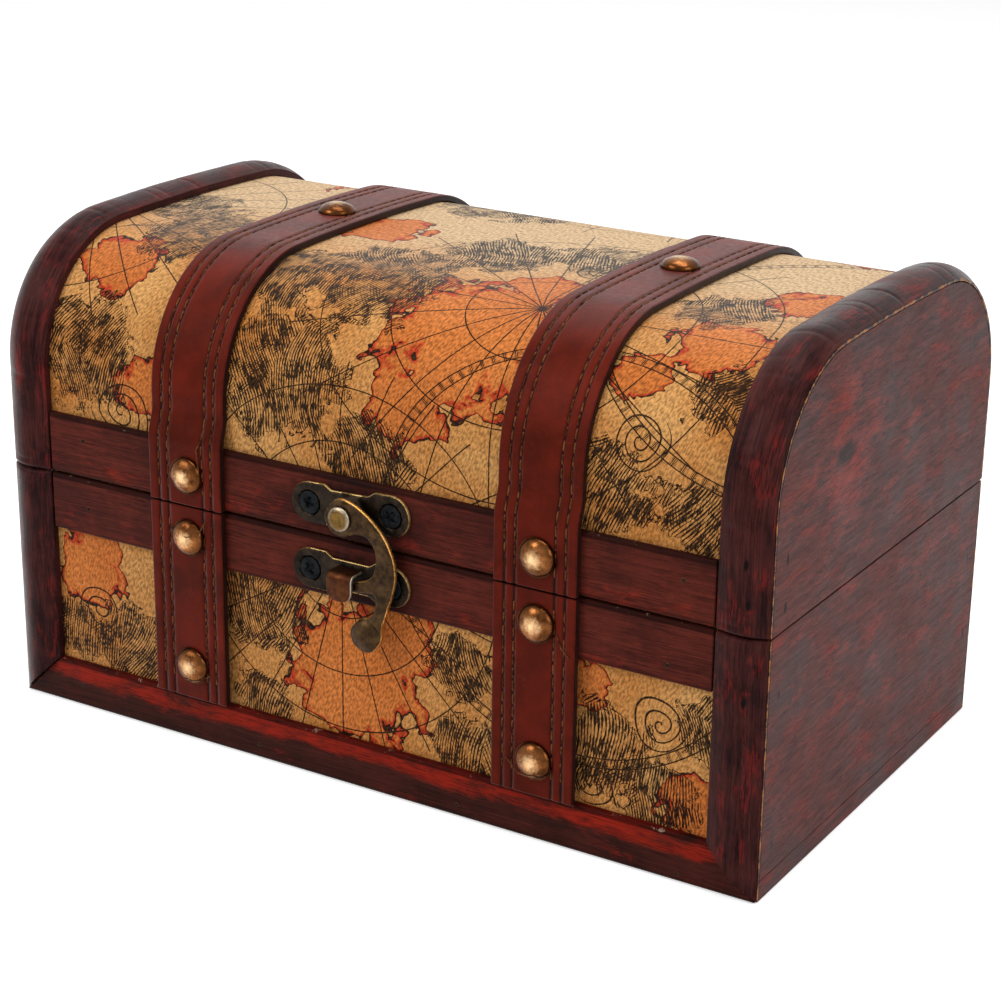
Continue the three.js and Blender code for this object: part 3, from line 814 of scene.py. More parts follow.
def scale_band(put, place, centre, at, blocks):
    """Two rings with black and white blocks between them, as on a chart's scale"""
    radius, turn = polar_place(put, place, centre)
    off = put("absolute", put("subtract", radius, at))
    edge = put("compare", off, scale_half_width, line_half)
    block = put("greater than", waves(put, turn, blocks), 0.3)
    tick = put("less than", waves(put, turn, blocks * 7), 0.3)
    block = put("multiply", block, tick)
    inside = put("less than", off, scale_half_width)
    block = put("multiply", block, inside)
    return put("maximum", edge, block)


def scroll_lines(put, place, centre, reach, way):
    """A spiral scroll"""
    radius, turn = polar_place(put, place, centre)
    coil = put("multiply", turn, float(-way))
    coil = put("multiply add", radius, 1 / scroll_gap, coil)
    coil = put("pingpong", coil, 0.5)
    coil = put("less than", coil, line_half * 1.3 / scroll_gap)
    near = put("less than", radius, float(reach))
    return put("multiply", coil, near)


def engraved_strokes(put, place, tone, bundle_size, pitch, bend):
    """Engraved strokes in bundles that turn and bend each in its own way; a darker tone thickens them"""
    middle = put("cells", place, 1 / bundle_size, out="Position", voronoi_dimensions="2D")
    lot = put("split", middle.node.outputs["Color"])
    offset = put("vector subtract", place, middle)
    spin = put("multiply add", lot, 1.5, -2.1)
    offset = put("turn", offset, spin)
    across = put("split", offset)
    curl = put("multiply add", lot.node.outputs[1], bend, -bend / 2)
    arc = put("multiply", across, across)
    phase = put("multiply add", arc, curl, across.node.outputs[1])
    phase = waves(put, phase, 1 / pitch)
    stretched = put("vector multiply", offset, per(stroke_break_size))
    broken = patches(put, stretched, 1.0, 2.0, 0.5, 0.36, 0.6, 0.25, 1.25)
    tone = put("multiply", tone, broken)
    return put("less than", phase, tone)


def printed_leatherette():
    """Embossed vinyl leatherette, printed in tan, orange and black like an old sea chart"""
    flow_size = 24
    flow_reach = (6, 6, 0)
    coast_size = 7
    tone_size = 5
    age_size = 34
    pebble_turn = 0.35
    pebble_size = (0.55, 1.3, 1)
    emboss_depth = 0.45
    top_highlight_from = 75.0
    top_highlight_to = 115.0
    material, put, finish = new_material("printed_leatherette")
    place = put("strip map", uv_map="run")
    jitter = put("noise", place, 1 / flow_size, 1.0, out=1)
    jitter = put("vector subtract", jitter, noise_mean)
    flowing = put("vector multiply add", jitter, flow_reach, place)
    coast = put("noise", place, 1 / coast_size, 2.5, 0.5, 0.6)
    ragged = put("noise", place, 1 / coast_size, 3.0, 0.6, 0.8)

    land = spots_field(put, place, land_spots)
    land = put("multiply add", coast, 1.5, land)
    land = put("subtract", land, 0.85)
    on_land = put("range", land, 0.0, 0.01)
    border = put("range", land, 0.15, 0.07)
    border = put("multiply", border, on_land)
    coast_line = put("compare", land, 0.0, 0.03)

    tuft = spots_field(put, place, tuft_spots)
    tuft = put("multiply add", ragged, 1.6, tuft)
    tuft_edge = put("compare", tuft, 0.91, 0.018)
    tone = put("range", tuft, 0.88, 1.02, 0, 0.37)
    tone_wave = patches(put, flowing, tone_size, 3.0, 0.5, 0.35, 0.65, 0.55, 1.35)
    tone = put("multiply", tone, tone_wave)
    crossed = put("subtract", tone, 0.22)

    ink = put("maximum", coast_line, tuft_edge)
    inks = [engraved_strokes(put, flowing, tone, *main_strokes)]
    inks.append(engraved_strokes(put, flowing, crossed, *crossing_strokes))
    inks += [rose_lines(put, place, *rose) for rose in compass_roses]
    inks += [scale_band(put, place, *ring) for ring in scale_rings]
    inks += [scroll_lines(put, flowing, (u, v), reach, way) for u, v, reach, way in scroll_spots]
    for more in inks:
        ink = put("maximum", ink, more)

    age = patches(put, place, age_size, 4.0, 0.6, 0.35, 0.65)
    ground = put("mix", age, "#b07036", "#c39056")
    soil = put("mix", age, "#c4743a", "#b4642e")
    # Paler towards the top of the lid: a painted highlight of the light from above
    across = put("split", place)
    pale = put("range", across.node.outputs[1], top_highlight_from, top_highlight_to)
    ground = put("mix", pale, ground, "#c6a67e")
    colour = put("mix", on_land, ground, soil)
    colour = put("mix", border, colour, "#a83c20")

    slant = put("turn", place, pebble_turn)
    slant = put("vector multiply", slant, per(pebble_size))
    pebbles = put("noise", slant, 1.0, 2.0, 0.5)
    shade = put("range", pebbles, 0.36, 0.62, 0.58, 1.24)
    colour = put("mix", 1.0, colour, shade, blend_type="MULTIPLY")
    faded = put("range", pebbles, 0.45, 0.8, 0.97, 0.8)
    ink = put("multiply", ink, faded)
    colour = put("mix", ink, colour, "#120e0d")
    normal = put("bump", pebbles, 0.9, emboss_depth * MM)
    rough = put("range", pebbles, 0.3, 0.7, 0.62, 0.48)
    gleam = gloss_at_grazing(put, 0.3)
    finish({"Base Color": colour, "Roughness": rough, "Normal": normal, "Specular IOR Level": gleam})
    return material


# Dark slots left by the brads that pin the panels and trims, a knot, and the grime round the latch, with a
# painted shadow to the right of and under its plates
brad_reach = 1.3
panel_slot = (1, 0.6, 1.3)
panel_slots = [(-56.7, 82.6), (-56.6, 71.1), (-57.6, 50), (-57.1, 12.3), (57.4, 45.7), (58.6, 23.8)]
trim_slot = (0.6, 1, 1.4)
trim_slots = [(104.5, 83.1), (105.4, 73.8), (105.5, 50.3)]
knot_middle = (half_length, -27.5, 99)
knot_reach = 3.0
knot_stretch = (3, 2.4, 1.2)
shadow_and_grime_reach = 12.0
shadow_and_grime_stretch = (2.1, 1, 0.85)
shadow_and_grime_shift = 1.5
shadow_and_grime_drop = 1
panel_marks = [((half_length, y, z), brad_reach, panel_slot, 1.0) for y, z in panel_slots]
panel_marks.append((knot_middle, knot_reach, knot_stretch, 0.9))
trim_marks = [((x, -half_depth, z), brad_reach, trim_slot, 1.0) for x, z in trim_slots]
# Grime with a painted shadow round each latch plate, darkest to its right and below it
lid_rail_shadow_and_grime, top_rail_shadow_and_grime = [
    [((latch_x + shadow_and_grime_shift, -rail_face, height - shadow_and_grime_drop), shadow_and_grime_reach, shadow_and_grime_stretch, 0.8)]
    for height in (latch_plate_height, keeper_height)
]

# Woods: their tones are dark stain, usual stain, thin red stain and worn wood. Their grain is the streaks'
# size along each axis. A red place has the distances at which the red ends and is whole, and its strength.
rail_tones = ["#401a15", "#61291f", "#882a1e", "#9c8672"]
stained_rail = partial(stained_wood, grain=(0.9, 30, 1))
trim_wood = stained_wood(
    "stained_trim_pine", ["#231011", "#4a2421", "#7c201c", "#986028"], grain=(1.6, 26, 1), rough=0.3,
    red_from=0.69, worn_from=0.97, marks=trim_marks, sheen=0.1)
lid_rail_wood = stained_rail(
    "stained_lid_rail_pine", rail_tones, rough=0.44, red_from=0.76, worn_from=1.14, red_band=(13, 5, 0.1),
    marks=lid_rail_shadow_and_grime)
top_rail_wood = stained_rail(
    "stained_top_rail_pine", rail_tones, rough=0.44, red_from=0.78, worn_from=1.14, red_band=(11, 4, 0.1),
    marks=top_rail_shadow_and_grime)
# On the bottom rails the red band along the upper face is a painted highlight where the light falls on it
bottom_rail_wood = stained_rail(
    "stained_bottom_rail_pine", ["#2e1510", "#48201a", "#8c2214", "#9c8672"], rough=0.42, red_from=0.73,
    worn_from=1.1, red_band=(7, 9.5, 0.24))
panel_wood = stained_wood(
    "stained_end_panel_pine", ["#371c1b", "#603733", "#7e2f27", "#8c4a2c"], grain=(1.3, 13, 1.3), rough=0.5,
    red_from=0.66, worn_from=0.8, follows_run=False, red_round=(knot_middle, 24, 4.0, 0.14),
    marks=panel_marks)
inner_wood = stained_wood(
    "dark_stained_plywood", ["#2a1712", "#4a2a1e", "#5a3020", "#6b4630"], grain=(26, 1.4, 1.4), rough=0.6,
    red_from=0.75, worn_from=0.9, follows_run=False)

leather = strap_leather()
thread = seam_thread()
leatherette = printed_leatherette()

# Metals: their tones are dark film, usual metal and rubbed metal
# The tacks' copper carries a painted highlight on the crown and a painted dark reflection round the rim
tack_copper = worn_metal(
    "antique_copper_plate", ["#42230f", "#9c6236", "#f4c894"], rough=0.1, rim_from=1.5, speck_size=1.3,
    relief_depth=0.12, painted_highlight_and_rim_reflection=0.85)
plate_brass = worn_metal(
    "dark_antique_brass", ["#181310", "#30271f", "#c9a568"], rough=0.34, rim_from=1.0, speck_size=0.8,
    relief_depth=0.08)
hook_brass = worn_metal(
    "bronzed_brass", ["#261b13", "#4d3924", "#c89450"], rough=0.3, rim_from=0.96, speck_size=0.9,
    relief_depth=0.1)
rivet_brass = worn_metal(
    "peened_brass", ["#4e3a1e", "#7a5c2e", "#968c7a"], rough=0.26, rim_from=0.98, speck_size=0.7,
    relief_depth=0.06)
tongue_iron = worn_metal(
    "rusty_plated_tongue", ["#341b10", "#54301a", "#b0a898"], rough=0.36, rim_from=0.84, speck_size=0.7,
    relief_depth=0.08)
black_screw = worn_metal(
    "blackened_steel", ["#121315", "#232528", "#3c3e42"], rough=0.5, rim_from=1.25, speck_size=0.6,
    relief_depth=0.05)
brad_steel = worn_metal(
    "dirty_brad_heads", ["#140e0c", "#2e221c", "#8a6e48"], rough=0.4, rim_from=1.15, speck_size=0.4,
    relief_depth=0.04)


# Rails, trims, brads and covers


def wave_in(point):
    """How far hand work and wear have taken the wood below its outline at a point"""
    return -wood_wave * (0.5 + 0.5 * noise.noise(point / wood_wave_length))


def rail_section(low, high):
    """Section of a rail in depth and z with round outer edges, and its share of rim"""
    edge = rail_face - rail_round
    lower = corner_arc(edge, low + rail_round, rail_round, -math.pi / 2, 0)
    upper = corner_arc(edge, high - rail_round, rail_round, 0, math.pi / 2)
    face = [(rail_face, z) for z in spread(8, low + rail_round * 2, high - rail_round * 2)]
    section = [(backing_face, low)] + lower + face + upper + [(backing_face, high)]
    rims = [0.0] + [0.4] * len(lower) + [0.0] * len(face) + [1.0] * len(upper) + [0.2]
    return section, rims


def rail_skin(side, low, high, end_at):
    section, rims = rail_section(low, high)
    shares = spread(60, -1, 1)
    along = [share * half_length for share in shares]

    def place_at(share, depth, z):
        return Vector((share * end_at(z), side * depth, z))

    return swept_skin(section, rims, shares, place_at, along)


def mitre_x(z):
    """How far out a bottom rail's mitred end is at a height"""
    return half_length - z * trim_width / bottom_rail_height


def mitre_z(x):
    """How high a corner trim's mitred foot is at a place along the box"""
    return (half_length - abs(x)) * bottom_rail_height / trim_width


def make_rails():
    shift = 0
    for side_name, side in SIDES:
        for name, body, wood, low, high, end_at in [
            (f"base_{side_name}_top_rail", "base", top_rail_wood,
             base_top - top_rail_height, base_top, lambda z: rail_half),
            (f"base_{side_name}_bottom_rail", "base", bottom_rail_wood,
             0, bottom_rail_height, lambda z: mitre_x(z) - mitre_gap),
            (f"lid_{side_name}_rail", "lid", lid_rail_wood,
             lid_bottom, lid_bottom + lid_rail_height, lambda z: rail_half),
        ]:
            shift += rail_grain_shift
            skin = rail_skin(side, low, high, end_at)
            make_piece(f"{name}_stained", body, wood, [skin], [name], shift, rail_wear)


def bead_section(end):
    """Section of the round trims: flat underside, low outer edge and a bead that crowns in the middle"""
    outer_rim_turn = 0.24
    section = [(end * trim_inner, -trim_thickness), (end * half_length, -trim_thickness)]
    rims = [0.0, 1.0]
    for angle in spread(22, 0, math.pi):
        edge = trim_outer_edge if math.cos(angle) > 0 else trim_inner_edge
        x = half_length - trim_width / 2 + math.cos(angle) * trim_width / 2
        section.append((end * x, (edge - trim_thickness) * math.cos(angle) ** 2))
        rims.append(1.0 if angle < outer_rim_turn else 0.0)
    return section, rims


def kerf_dip(run):
    """The bent trims were sawn across to bend, which leaves shallow uneven dips"""
    drift = kerf_drift * noise.noise(Vector((run / kerf_drift_length, 5, 0)))
    off = (((run + drift) / kerf_pitch) % 1 - 0.5) * kerf_pitch
    uneven = max(0.0, 0.15 + 1.4 * noise.noise(Vector((run / kerf_uneven_length, 0, 0))))
    return -kerf_depth * uneven * math.exp(-((off / kerf_half_width) ** 2))


def end_dip(gap):
    """Drop of a trim's crown at its sawn end, which is rounded by wear"""
    return -trim_end_round * (1 - edge_share(gap, trim_end_round))


def end_rich_shares(count, length):
    """Shares of a length, with extra ones close to its ends for their rounding"""
    close = [gap / length for gap in trim_end_steps]
    end_share = trim_end_round / length
    middle = [share for share in spread(count, 0, 1) if end_share < share < 1 - end_share]
    return close + middle + [1 - share for share in reversed(close)]


def worn_place(station, x, level, lift):
    """A trim's point with its lift and the waves of hand work, which both fade to nothing at its underside"""
    top_share = (level + trim_thickness) / trim_thickness
    lift += wave_in(over(station, x, level))
    return over(station, x, level + lift * top_share)


def lid_trim_skin(end):
    section, rims = bead_section(end)
    runs = [share * lid_run for share in end_rich_shares(520, lid_run)]

    def place_at(run, x, level):
        station = lid_station(run)
        back_share = max(0.0, station[2]) ** 2
        lift = trim_back_rise * back_share + kerf_dip(run) + end_dip(min(run, lid_run - run))
        return worn_place(station, x, level, lift)

    return swept_skin(section, rims, runs, place_at)


def corner_trim_skin(end, side):
    section, rims = bead_section(end)
    shares = end_rich_shares(90, base_top)
    along = [base_top * (share - 1) for share in shares]

    def place_at(share, x, level):
        low = mitre_z(x)
        z = low + (base_top - low) * share
        return worn_place(wall_station(side, z), x, level, end_dip(base_top - z))

    return swept_skin(section, rims, shares, place_at, along)


def make_trims():
    for end_name, end in ENDS:
        name = f"lid_{end_name}_trim"
        skin = lid_trim_skin(end)
        shift = end * lid_trim_grain_shift
        make_piece(f"{name}_bent", "lid", trim_wood, [skin], [name], shift, trim_wear)
        for side_name, side in SIDES:
            name = f"corner_trim_{side_name}_{end_name}"
            skin = corner_trim_skin(end, side)
            shift = end * corner_trim_grain_shift + side * side_grain_shift
            make_piece(f"{name}_rounded", "base", trim_wood, [skin], [name], shift, trim_wear)


def make_brads():
    """Small nail heads that pin the front rails"""
    brad_places = {
        "base": [(85.2, 54.0), (-84.8, 57.1), (-89.8, 5.9), (-30.9, 3.8), (28.9, 3.1), (89.6, 1.9)],
        "lid": [(88.5, 75.5), (-85.5, 75.7)],
    }
    profile = [
        (brad_radius, -brad_sink), (brad_radius, brad_edge), (brad_radius * 0.7, brad_shoulder),
        (tip_radius, brad_height),
    ]
    for body, places in brad_places.items():
        skins = [turned_skin(profile, (x, -rail_face, z), (0, -1, 0), 10) for x, z in places]
        make_piece(f"{body}_rail_brads", body, brad_steel, skins)


def make_covers():
    """Printed covers, with the chart running on from the lid to the base"""
    xs = spread(40, -inner_length, inner_length)
    edge = [(x, cover_level - cover_thickness) for x in reversed(xs)] + [(x, cover_level) for x in xs]
    across = [x for x, _ in edge]
    rims = [0.0] * len(edge)
    runs = spread(220, 0, lid_run)
    rows = [[over(lid_station(run), x, level) for x, level in edge] for run in runs]
    skin = ring_skin(rows, across, runs, rims)
    make_piece("lid_chart_cover", "lid", leatherette, [skin], ["lid_printed_cover"])
    heights = spread(12, bottom_thickness + fit_gap, base_top)
    for side_name, side in SIDES:
        rows = [[over(wall_station(side, z), -side * x, level) for x, level in edge] for z in heights]
        skin = ring_skin(rows, across, [z - base_top for z in heights], rims)
        name = f"base_{side_name}_printed_cover"
        make_piece(f"base_{side_name}_chart_cover", "base", leatherette, [skin], [name])


# Straps, their seams and loose threads


def strap_section(centre):
    """Section of a strap: round edges and a groove along each seam"""
    half = strap_width / 2
    height = strap_thickness - strap_round
    left = corner_arc(centre - half + strap_round, height, strap_round, math.pi, math.pi / 2)
    right = corner_arc(centre + half - strap_round, height, strap_round, math.pi / 2, 0)
    flat = []
    creases = []
    for x in spread(72, -half + strap_round * 1.5, half - strap_round * 1.5):
        offs = [(half - abs(x) - inset) / seam_groove_half_width for inset in seam_insets]
        groove = sum(math.exp(-(off ** 2)) for off in offs)
        flat.append((centre + x, strap_thickness - seam_groove_depth * groove))
        # The groove's share of rim, which the leather darkens as crease and painted shade
        creases.append(groove * 0.5)
    section = [(centre - half, 0)] + left + flat + right + [(centre + half, 0)]
    rims = [1.0, 1.0, 1.0] + [0.2] * (len(left) - 2) + creases
    rims += [0.2] * (len(right) - 2) + [1.0, 1.0, 1.0]
    return section, rims


def strap_level(share):
    """Level of a strap's underside at a share of its way down from a rail to the cover"""
    return strap_rail_level + (strap_cover_level - strap_rail_level) * share


def lid_strap_place(run):
    ramp_start = lid_bottom + lid_rail_height + fit_gap
    station = lid_station(run)
    return station, strap_level(eased(station[1], ramp_start, ramp_start + strap_ramp_height))


def base_strap_place(run):
    return wall_station(-1, base_top - run), strap_rail_level


def strap_skin(centre, place_at, length, count):
    section, rims = strap_section(centre)

    def swaying_place(run, x, height):
        station, level = place_at(run)
        sway = strap_sway * noise.noise(Vector((run / strap_sway_length, x, 0)))
        return over(station, x + sway, level + height)

    return swept_skin(section, rims, spread(count, 0, length), swaying_place)


def thread_ring(centre, across, out, sides):
    """Points round a thread from its middle and two of its radii"""
    turns = [TURN * i / sides for i in range(sides)]
    return [centre + across * math.cos(turn) + out * math.sin(turn) for turn in turns]


def stitch_skin(x, place_at, start, end):
    """One stitch: a short round thread that dives into the leather at both ends"""
    sides = 7
    rows = []
    for share in spread(6, 0, 1):
        run = start + (end - start) * share
        station, level = place_at(run)
        rise = stitch_rise * math.sin(math.pi * share) ** 0.6 if 0 < share < 1 else -stitch_radius * 1.5
        centre = over(station, x, level + strap_thickness - seam_groove_depth + rise - stitch_radius * 0.3)
        out = Vector((0, *station[2:])) * stitch_radius
        rows.append(thread_ring(centre, Vector((stitch_radius, 0, 0)), out, sides))
    return ring_skin(rows, spread(sides - 1, 0, 1), spread(6, start, end), [0.0] * sides)


def seam_skins(centre, place_at, length):
    skins = []
    for side in (-1, 1):
        for inset in seam_insets:
            x = centre + side * (strap_width / 2 - inset)
            count = int((length - seam_end_gap * 2) / stitch_pitch)
            for i in range(count):
                start = seam_end_gap + i * stitch_pitch
                drift = stitch_wander * noise.noise(Vector((x, start / stitch_wander_length, 3)))
                end = start + stitch_pitch - stitch_gap
                skins.append(stitch_skin(x + drift, place_at, start, end))
    return skins


def loose_thread_skin(knots):
    """A thin loose thread that lies over a strap through its knots in x and z"""
    depth = half_depth + strap_rail_level + strap_thickness
    out = Vector((0, -loose_thread_radius, 0))
    sides = 6
    rows = []
    for start, end in zip(knots, knots[1:]):
        across = Vector((end[1] - start[1], 0, start[0] - end[0])).normalized() * loose_thread_radius
        for share in spread(5, 0, 1)[:-1]:
            x, z, rise = Vector(start).lerp(Vector(end), share)
            rows.append(thread_ring(Vector((x, -depth - rise, z)), across, out, sides))
    return ring_skin(rows, spread(sides - 1, 0, 1), list(range(len(rows))), [0.0] * sides)


def make_loose_threads():
    """Thread tails seen by the tacks: each knot has x, z and how far it stands off the strap"""
    lid_tail = [
        (-44.1, 88.3, 0.1), (-44.6, 85.1, 0.4), (-46.8, 81.3, 0.3), (-46.2, 76.6, 0.5), (-44.9, 73.6, 0.1),
    ]
    base_tails = [
        [(-56.2, 59.4, 0.1), (-53.4, 58.6, 1.7), (-49.0, 58.3, 2.5), (-46.0, 59.2, 1.5), (-44.3, 63.6, 0.1)],
        [(-54.0, 19.4, 0.8), (-50.4, 18.4, 2.3), (-46.4, 19.2, 1.2), (-44.2, 20.6, 0.1)],
        [(44.0, 21.0, 0.1), (48.4, 18.6, 1.7), (52.6, 18.4, 2.3), (57.6, 19.8, 0.2)],
        [(57.2, 55.8, 0.1), (58.8, 52.6, 0.4), (61.6, 49.6, 0.1)],
    ]
    skin = loose_thread_skin(lid_tail)
    make_piece("lid_loose_thread", "lid", thread, [skin])
    skins = [loose_thread_skin(tail) for tail in base_tails]
    make_piece("base_loose_threads", "base", thread, skins)


def make_straps():
    base_length = base_top - bottom_rail_height - fit_gap
    for end_name, end in ENDS:
        centre = end * strap_centre
        for body, place_at, length, count in [
            ("lid", lid_strap_place, lid_run, 260),
            ("base", base_strap_place, base_length, 60),
        ]:
            name = f"{body}_{end_name}_strap"
            skin = strap_skin(centre, place_at, length, count)
            make_piece(f"{name}_leather", body, leather, [skin], [name], bevel=strap_wear)
            seams = seam_skins(centre, place_at, length)
            make_piece(f"{name}_seams", body, thread, seams)


# Tacks, screws and the latch


def tack_skin(foot, out):
    """Domed nail head, a little dented"""
    def dent(u, v, height):
        away = Vector((u + foot[0], v + foot[2], foot[1])) / tack_dent_size
        return tack_dent * noise.noise(away) * min(1.0, height / tack_dent_height)

    dome_radius = tack_radius - tack_dome_inset
    rim_turn = 0.12
    profile = [
        (tack_radius - tack_foot_inset, -tack_sink), (tack_radius, tack_lip),
        (tack_radius - tack_lip, tack_lip_height),
    ]
    for angle in spread(14, rim_turn, math.pi / 2):
        profile.append((math.cos(angle) * dome_radius + tip_radius, math.sin(angle) * tack_dome))
    return turned_skin(profile, foot, out, 44, dent)


def make_tacks():
    on_rail = half_depth + strap_rail_level + strap_thickness + fit_gap
    on_crown = box_height + strap_cover_level + strap_thickness + fit_gap
    for end_name, end in ENDS:
        x = end * strap_centre + tack_shift
        for spot, body, foot, out in [
            (f"lid_{end_name}_front", "lid", (x, -on_rail, lid_tack_height), (0, -1, 0)),
            (f"lid_{end_name}_top", "lid", (x, 0, on_crown), (0, 0, 1)),
            (f"lid_{end_name}_back", "lid", (x, on_rail, lid_tack_height), (0, 1, 0)),
            (f"base_{end_name}_upper", "base", (x, -on_rail, upper_tack_height), (0, -1, 0)),
            (f"base_{end_name}_lower", "base", (x, -on_rail, lower_tack_height), (0, -1, 0)),
        ]:
            skin = tack_skin(foot, out)
            make_piece(f"{spot}_domed_tack", body, tack_copper, [skin], [f"{spot}_tack"])


def on_latch_plate(x, z, height, turn):
    """Place of a point of a plate that is set at a height and a little turned"""
    sine = math.sin(turn)
    cosine = math.cos(turn)
    return latch_x + x * cosine - z * sine, height + x * sine + z * cosine


def latch_outline(height, turn):
    """Outline of a latch plate: two round lobes and a narrower waist"""
    lobe = latch_lobe_spacing / 2
    shoulder = lobe - latch_lobe_length
    waist = shoulder - latch_waist_run
    outline = []
    for side in (1, -1):
        outline += [(side * x, -side * latch_waist_half) for x in spread(3, -waist * 0.7, waist)]
        outline += [(side * x, -side * latch_lobe_radius) for x in spread(3, shoulder, lobe)[:-1]]
        turned = corner_arc(lobe, 0, latch_lobe_radius, -math.pi / 2, math.pi / 2, 22)
        outline += [(side * x, side * z) for x, z in turned]
        outline += [(side * x, side * latch_lobe_radius) for x in spread(3, lobe, shoulder)[1:]]
        outline.append((side * waist, side * latch_waist_half))
    return [on_latch_plate(x, z, height, turn) for x, z in outline]


def screw_places(height, turn):
    return [on_latch_plate(end * latch_lobe_spacing / 2, 0, height, turn) for end in (-1, 1)]


def edge_share(depth, width):
    """One where a piece has its full height, falling round to zero at its rim"""
    share = min(1.0, depth / width)
    return math.sqrt(max(0.0, 1 - (1 - share) ** 2))


def plate_skin(height, turn, boss):
    """Stamped plate, sunk round its screws; the latch's has a boss under the hook's pivot"""
    screws = screw_places(height, turn)
    sunk_radius = countersink_radius - countersink_slope

    def front(x, z, depth):
        low = latch_face - plate_round * (1 - edge_share(depth, plate_round))
        for screw_x, screw_z in screws:
            gap = math.hypot(x - screw_x, z - screw_z)
            low -= countersink_depth * (1 - eased(gap, sunk_radius, countersink_radius))
        if boss:
            gap = math.hypot(x - pivot_x, z - pivot_height)
            low += boss_height * (1 - eased(gap, boss_radius - boss_slope, boss_radius + boss_slope))
        return -low

    def back(x, z, depth):
        return -latch_back

    return cast_skin(latch_outline(height, turn), front, back, plate_edge_depths, metal_grid_step)


def cross_recess(u, v):
    """Depth of the cross in a screw's head"""
    near = min(abs(u), abs(v))
    far = max(abs(u), abs(v))
    arm = 1 - eased(near, cross_half_width * 0.7, cross_half_width * 1.5)
    end = 1 - eased(far, cross_reach * 0.6, cross_reach)
    return -cross_depth * arm * end


def make_screw(name, body, x, z, turn):
    def recess(u, v, height):
        across = u * math.cos(turn) - v * math.sin(turn)
        up = u * math.sin(turn) + v * math.cos(turn)
        return cross_recess(across, up) if height > 0 else 0

    head = screw_head_radius
    profile = [(head - inset, height) for inset, height in zip(screw_rim_insets, screw_rim_heights)]
    for share in spread(20, 0.94, 0.012):
        profile.append((head * share, screw_face + screw_dome * (1 - share ** 2)))
    skin = turned_skin(profile, (x, screw_sink - latch_face, z), (0, -1, 0), 48, recess)
    make_piece(f"{name}_crosshead", body, black_screw, [skin], [name])


def make_latch_plates():
    """Plates of the latch on the lid and of the keeper on the base"""
    skin = plate_skin(latch_plate_height, latch_plate_turn, True)
    make_piece("latch_plate_stamped", "lid", plate_brass, [skin], ["latch_plate"])
    skin = plate_skin(keeper_height, 0, False)
    make_piece("keeper_plate_stamped", "base", plate_brass, [skin], ["keeper_plate"])


def tongue_skin():
    """Tongue bent out of the keeper and down in front of the hook's finger"""
    half = tongue_thickness / 2
    bend = tongue_bend_radius
    out_at = latch_face + tongue_reach - half
    level = tongue_top - half
    low = tongue_top - tongue_height
    tip_turn = 1.45
    path = [(y, level, 0.0, 1.0) for y in spread(4, latch_back + tongue_root, out_at - bend)]
    for angle in spread(8, 0, math.pi / 2)[1:]:
        path.append((out_at - bend + math.sin(angle) * bend, level - bend + math.cos(angle) * bend,
                     math.sin(angle), math.cos(angle)))
    for z in spread(8, level - bend, low + tongue_corner_radius)[1:]:
        path.append((out_at, z, 1.0, 0.0))
    for angle in spread(8, 0, tip_turn)[1:]:
        path.append((out_at, low + tongue_corner_radius * (1 - math.sin(angle)), 1.0, 0.0))
    rows = []
    for y, z, out_y, out_z in path:
        tip = min(1.0, max(0.0, (z - low) / tongue_corner_radius))
        wide = tongue_width / 2 - tongue_corner_radius * (1 - edge_share(tip, 1.0))
        row = []
        corner = half * 0.7
        ring = corner_arc(wide - corner, half - corner, corner, 0, math.pi / 2, 3)
        ring += [(-x, h) for x, h in reversed(ring)]
        ring += [(x, -h) for x, h in reversed(ring)]
        for x, height in ring:
            row.append(Vector((latch_x + x, -(y + out_y * height), z + out_z * height)))
        rows.append(row)
    # Shares of rim round the tongue: its right edge, at the full share, takes a painted highlight in the
    # metal's bright tone
    rims = [1.0, 1.0, 0.5, 0.0, 0.0, 0.2, 0.4, 0.4] + [0.6] * 8
    across = list(range(len(rows[0])))
    return ring_skin(rows, across, lengths_round([(y, z) for y, z, _, _ in path]), rims)


def make_tongue():
    make_piece("keeper_tongue_bent", "base", tongue_iron, [tongue_skin()])


def make_screws():
    for part, body, places, turns in [
        ("latch", "lid", screw_places(latch_plate_height, latch_plate_turn), (0.3, 0.75)),
        ("keeper", "base", screw_places(keeper_height, 0), (0.95, 0.2)),
    ]:
        for (end_name, _), (x, z), turn in zip(ENDS, places, turns):
            make_screw(f"{part}_screw_{end_name}", body, x, z, turn)


def smooth_outline(shares, count):
    """Closed smooth curve through the outline's points"""
    knots = [Vector((pivot_x + x * hook_reach, pivot_height + z * hook_reach)) for x, z in shares]
    total = len(knots)
    outline = []
    for i in range(total):
        before, start, end, after = [knots[(i + k) % total] for k in (-1, 0, 1, 2)]
        for step in range(count):
            t = step / count
            near = start * (2 * t ** 3 - 3 * t ** 2 + 1) + end * (3 * t ** 2 - 2 * t ** 3)
            bend = (end - before) / 2 * (t ** 3 - 2 * t ** 2 + t) + (after - start) / 2 * (t ** 3 - t ** 2)
            spot = near + bend
            outline.append((spot.x, spot.y))
    return outline


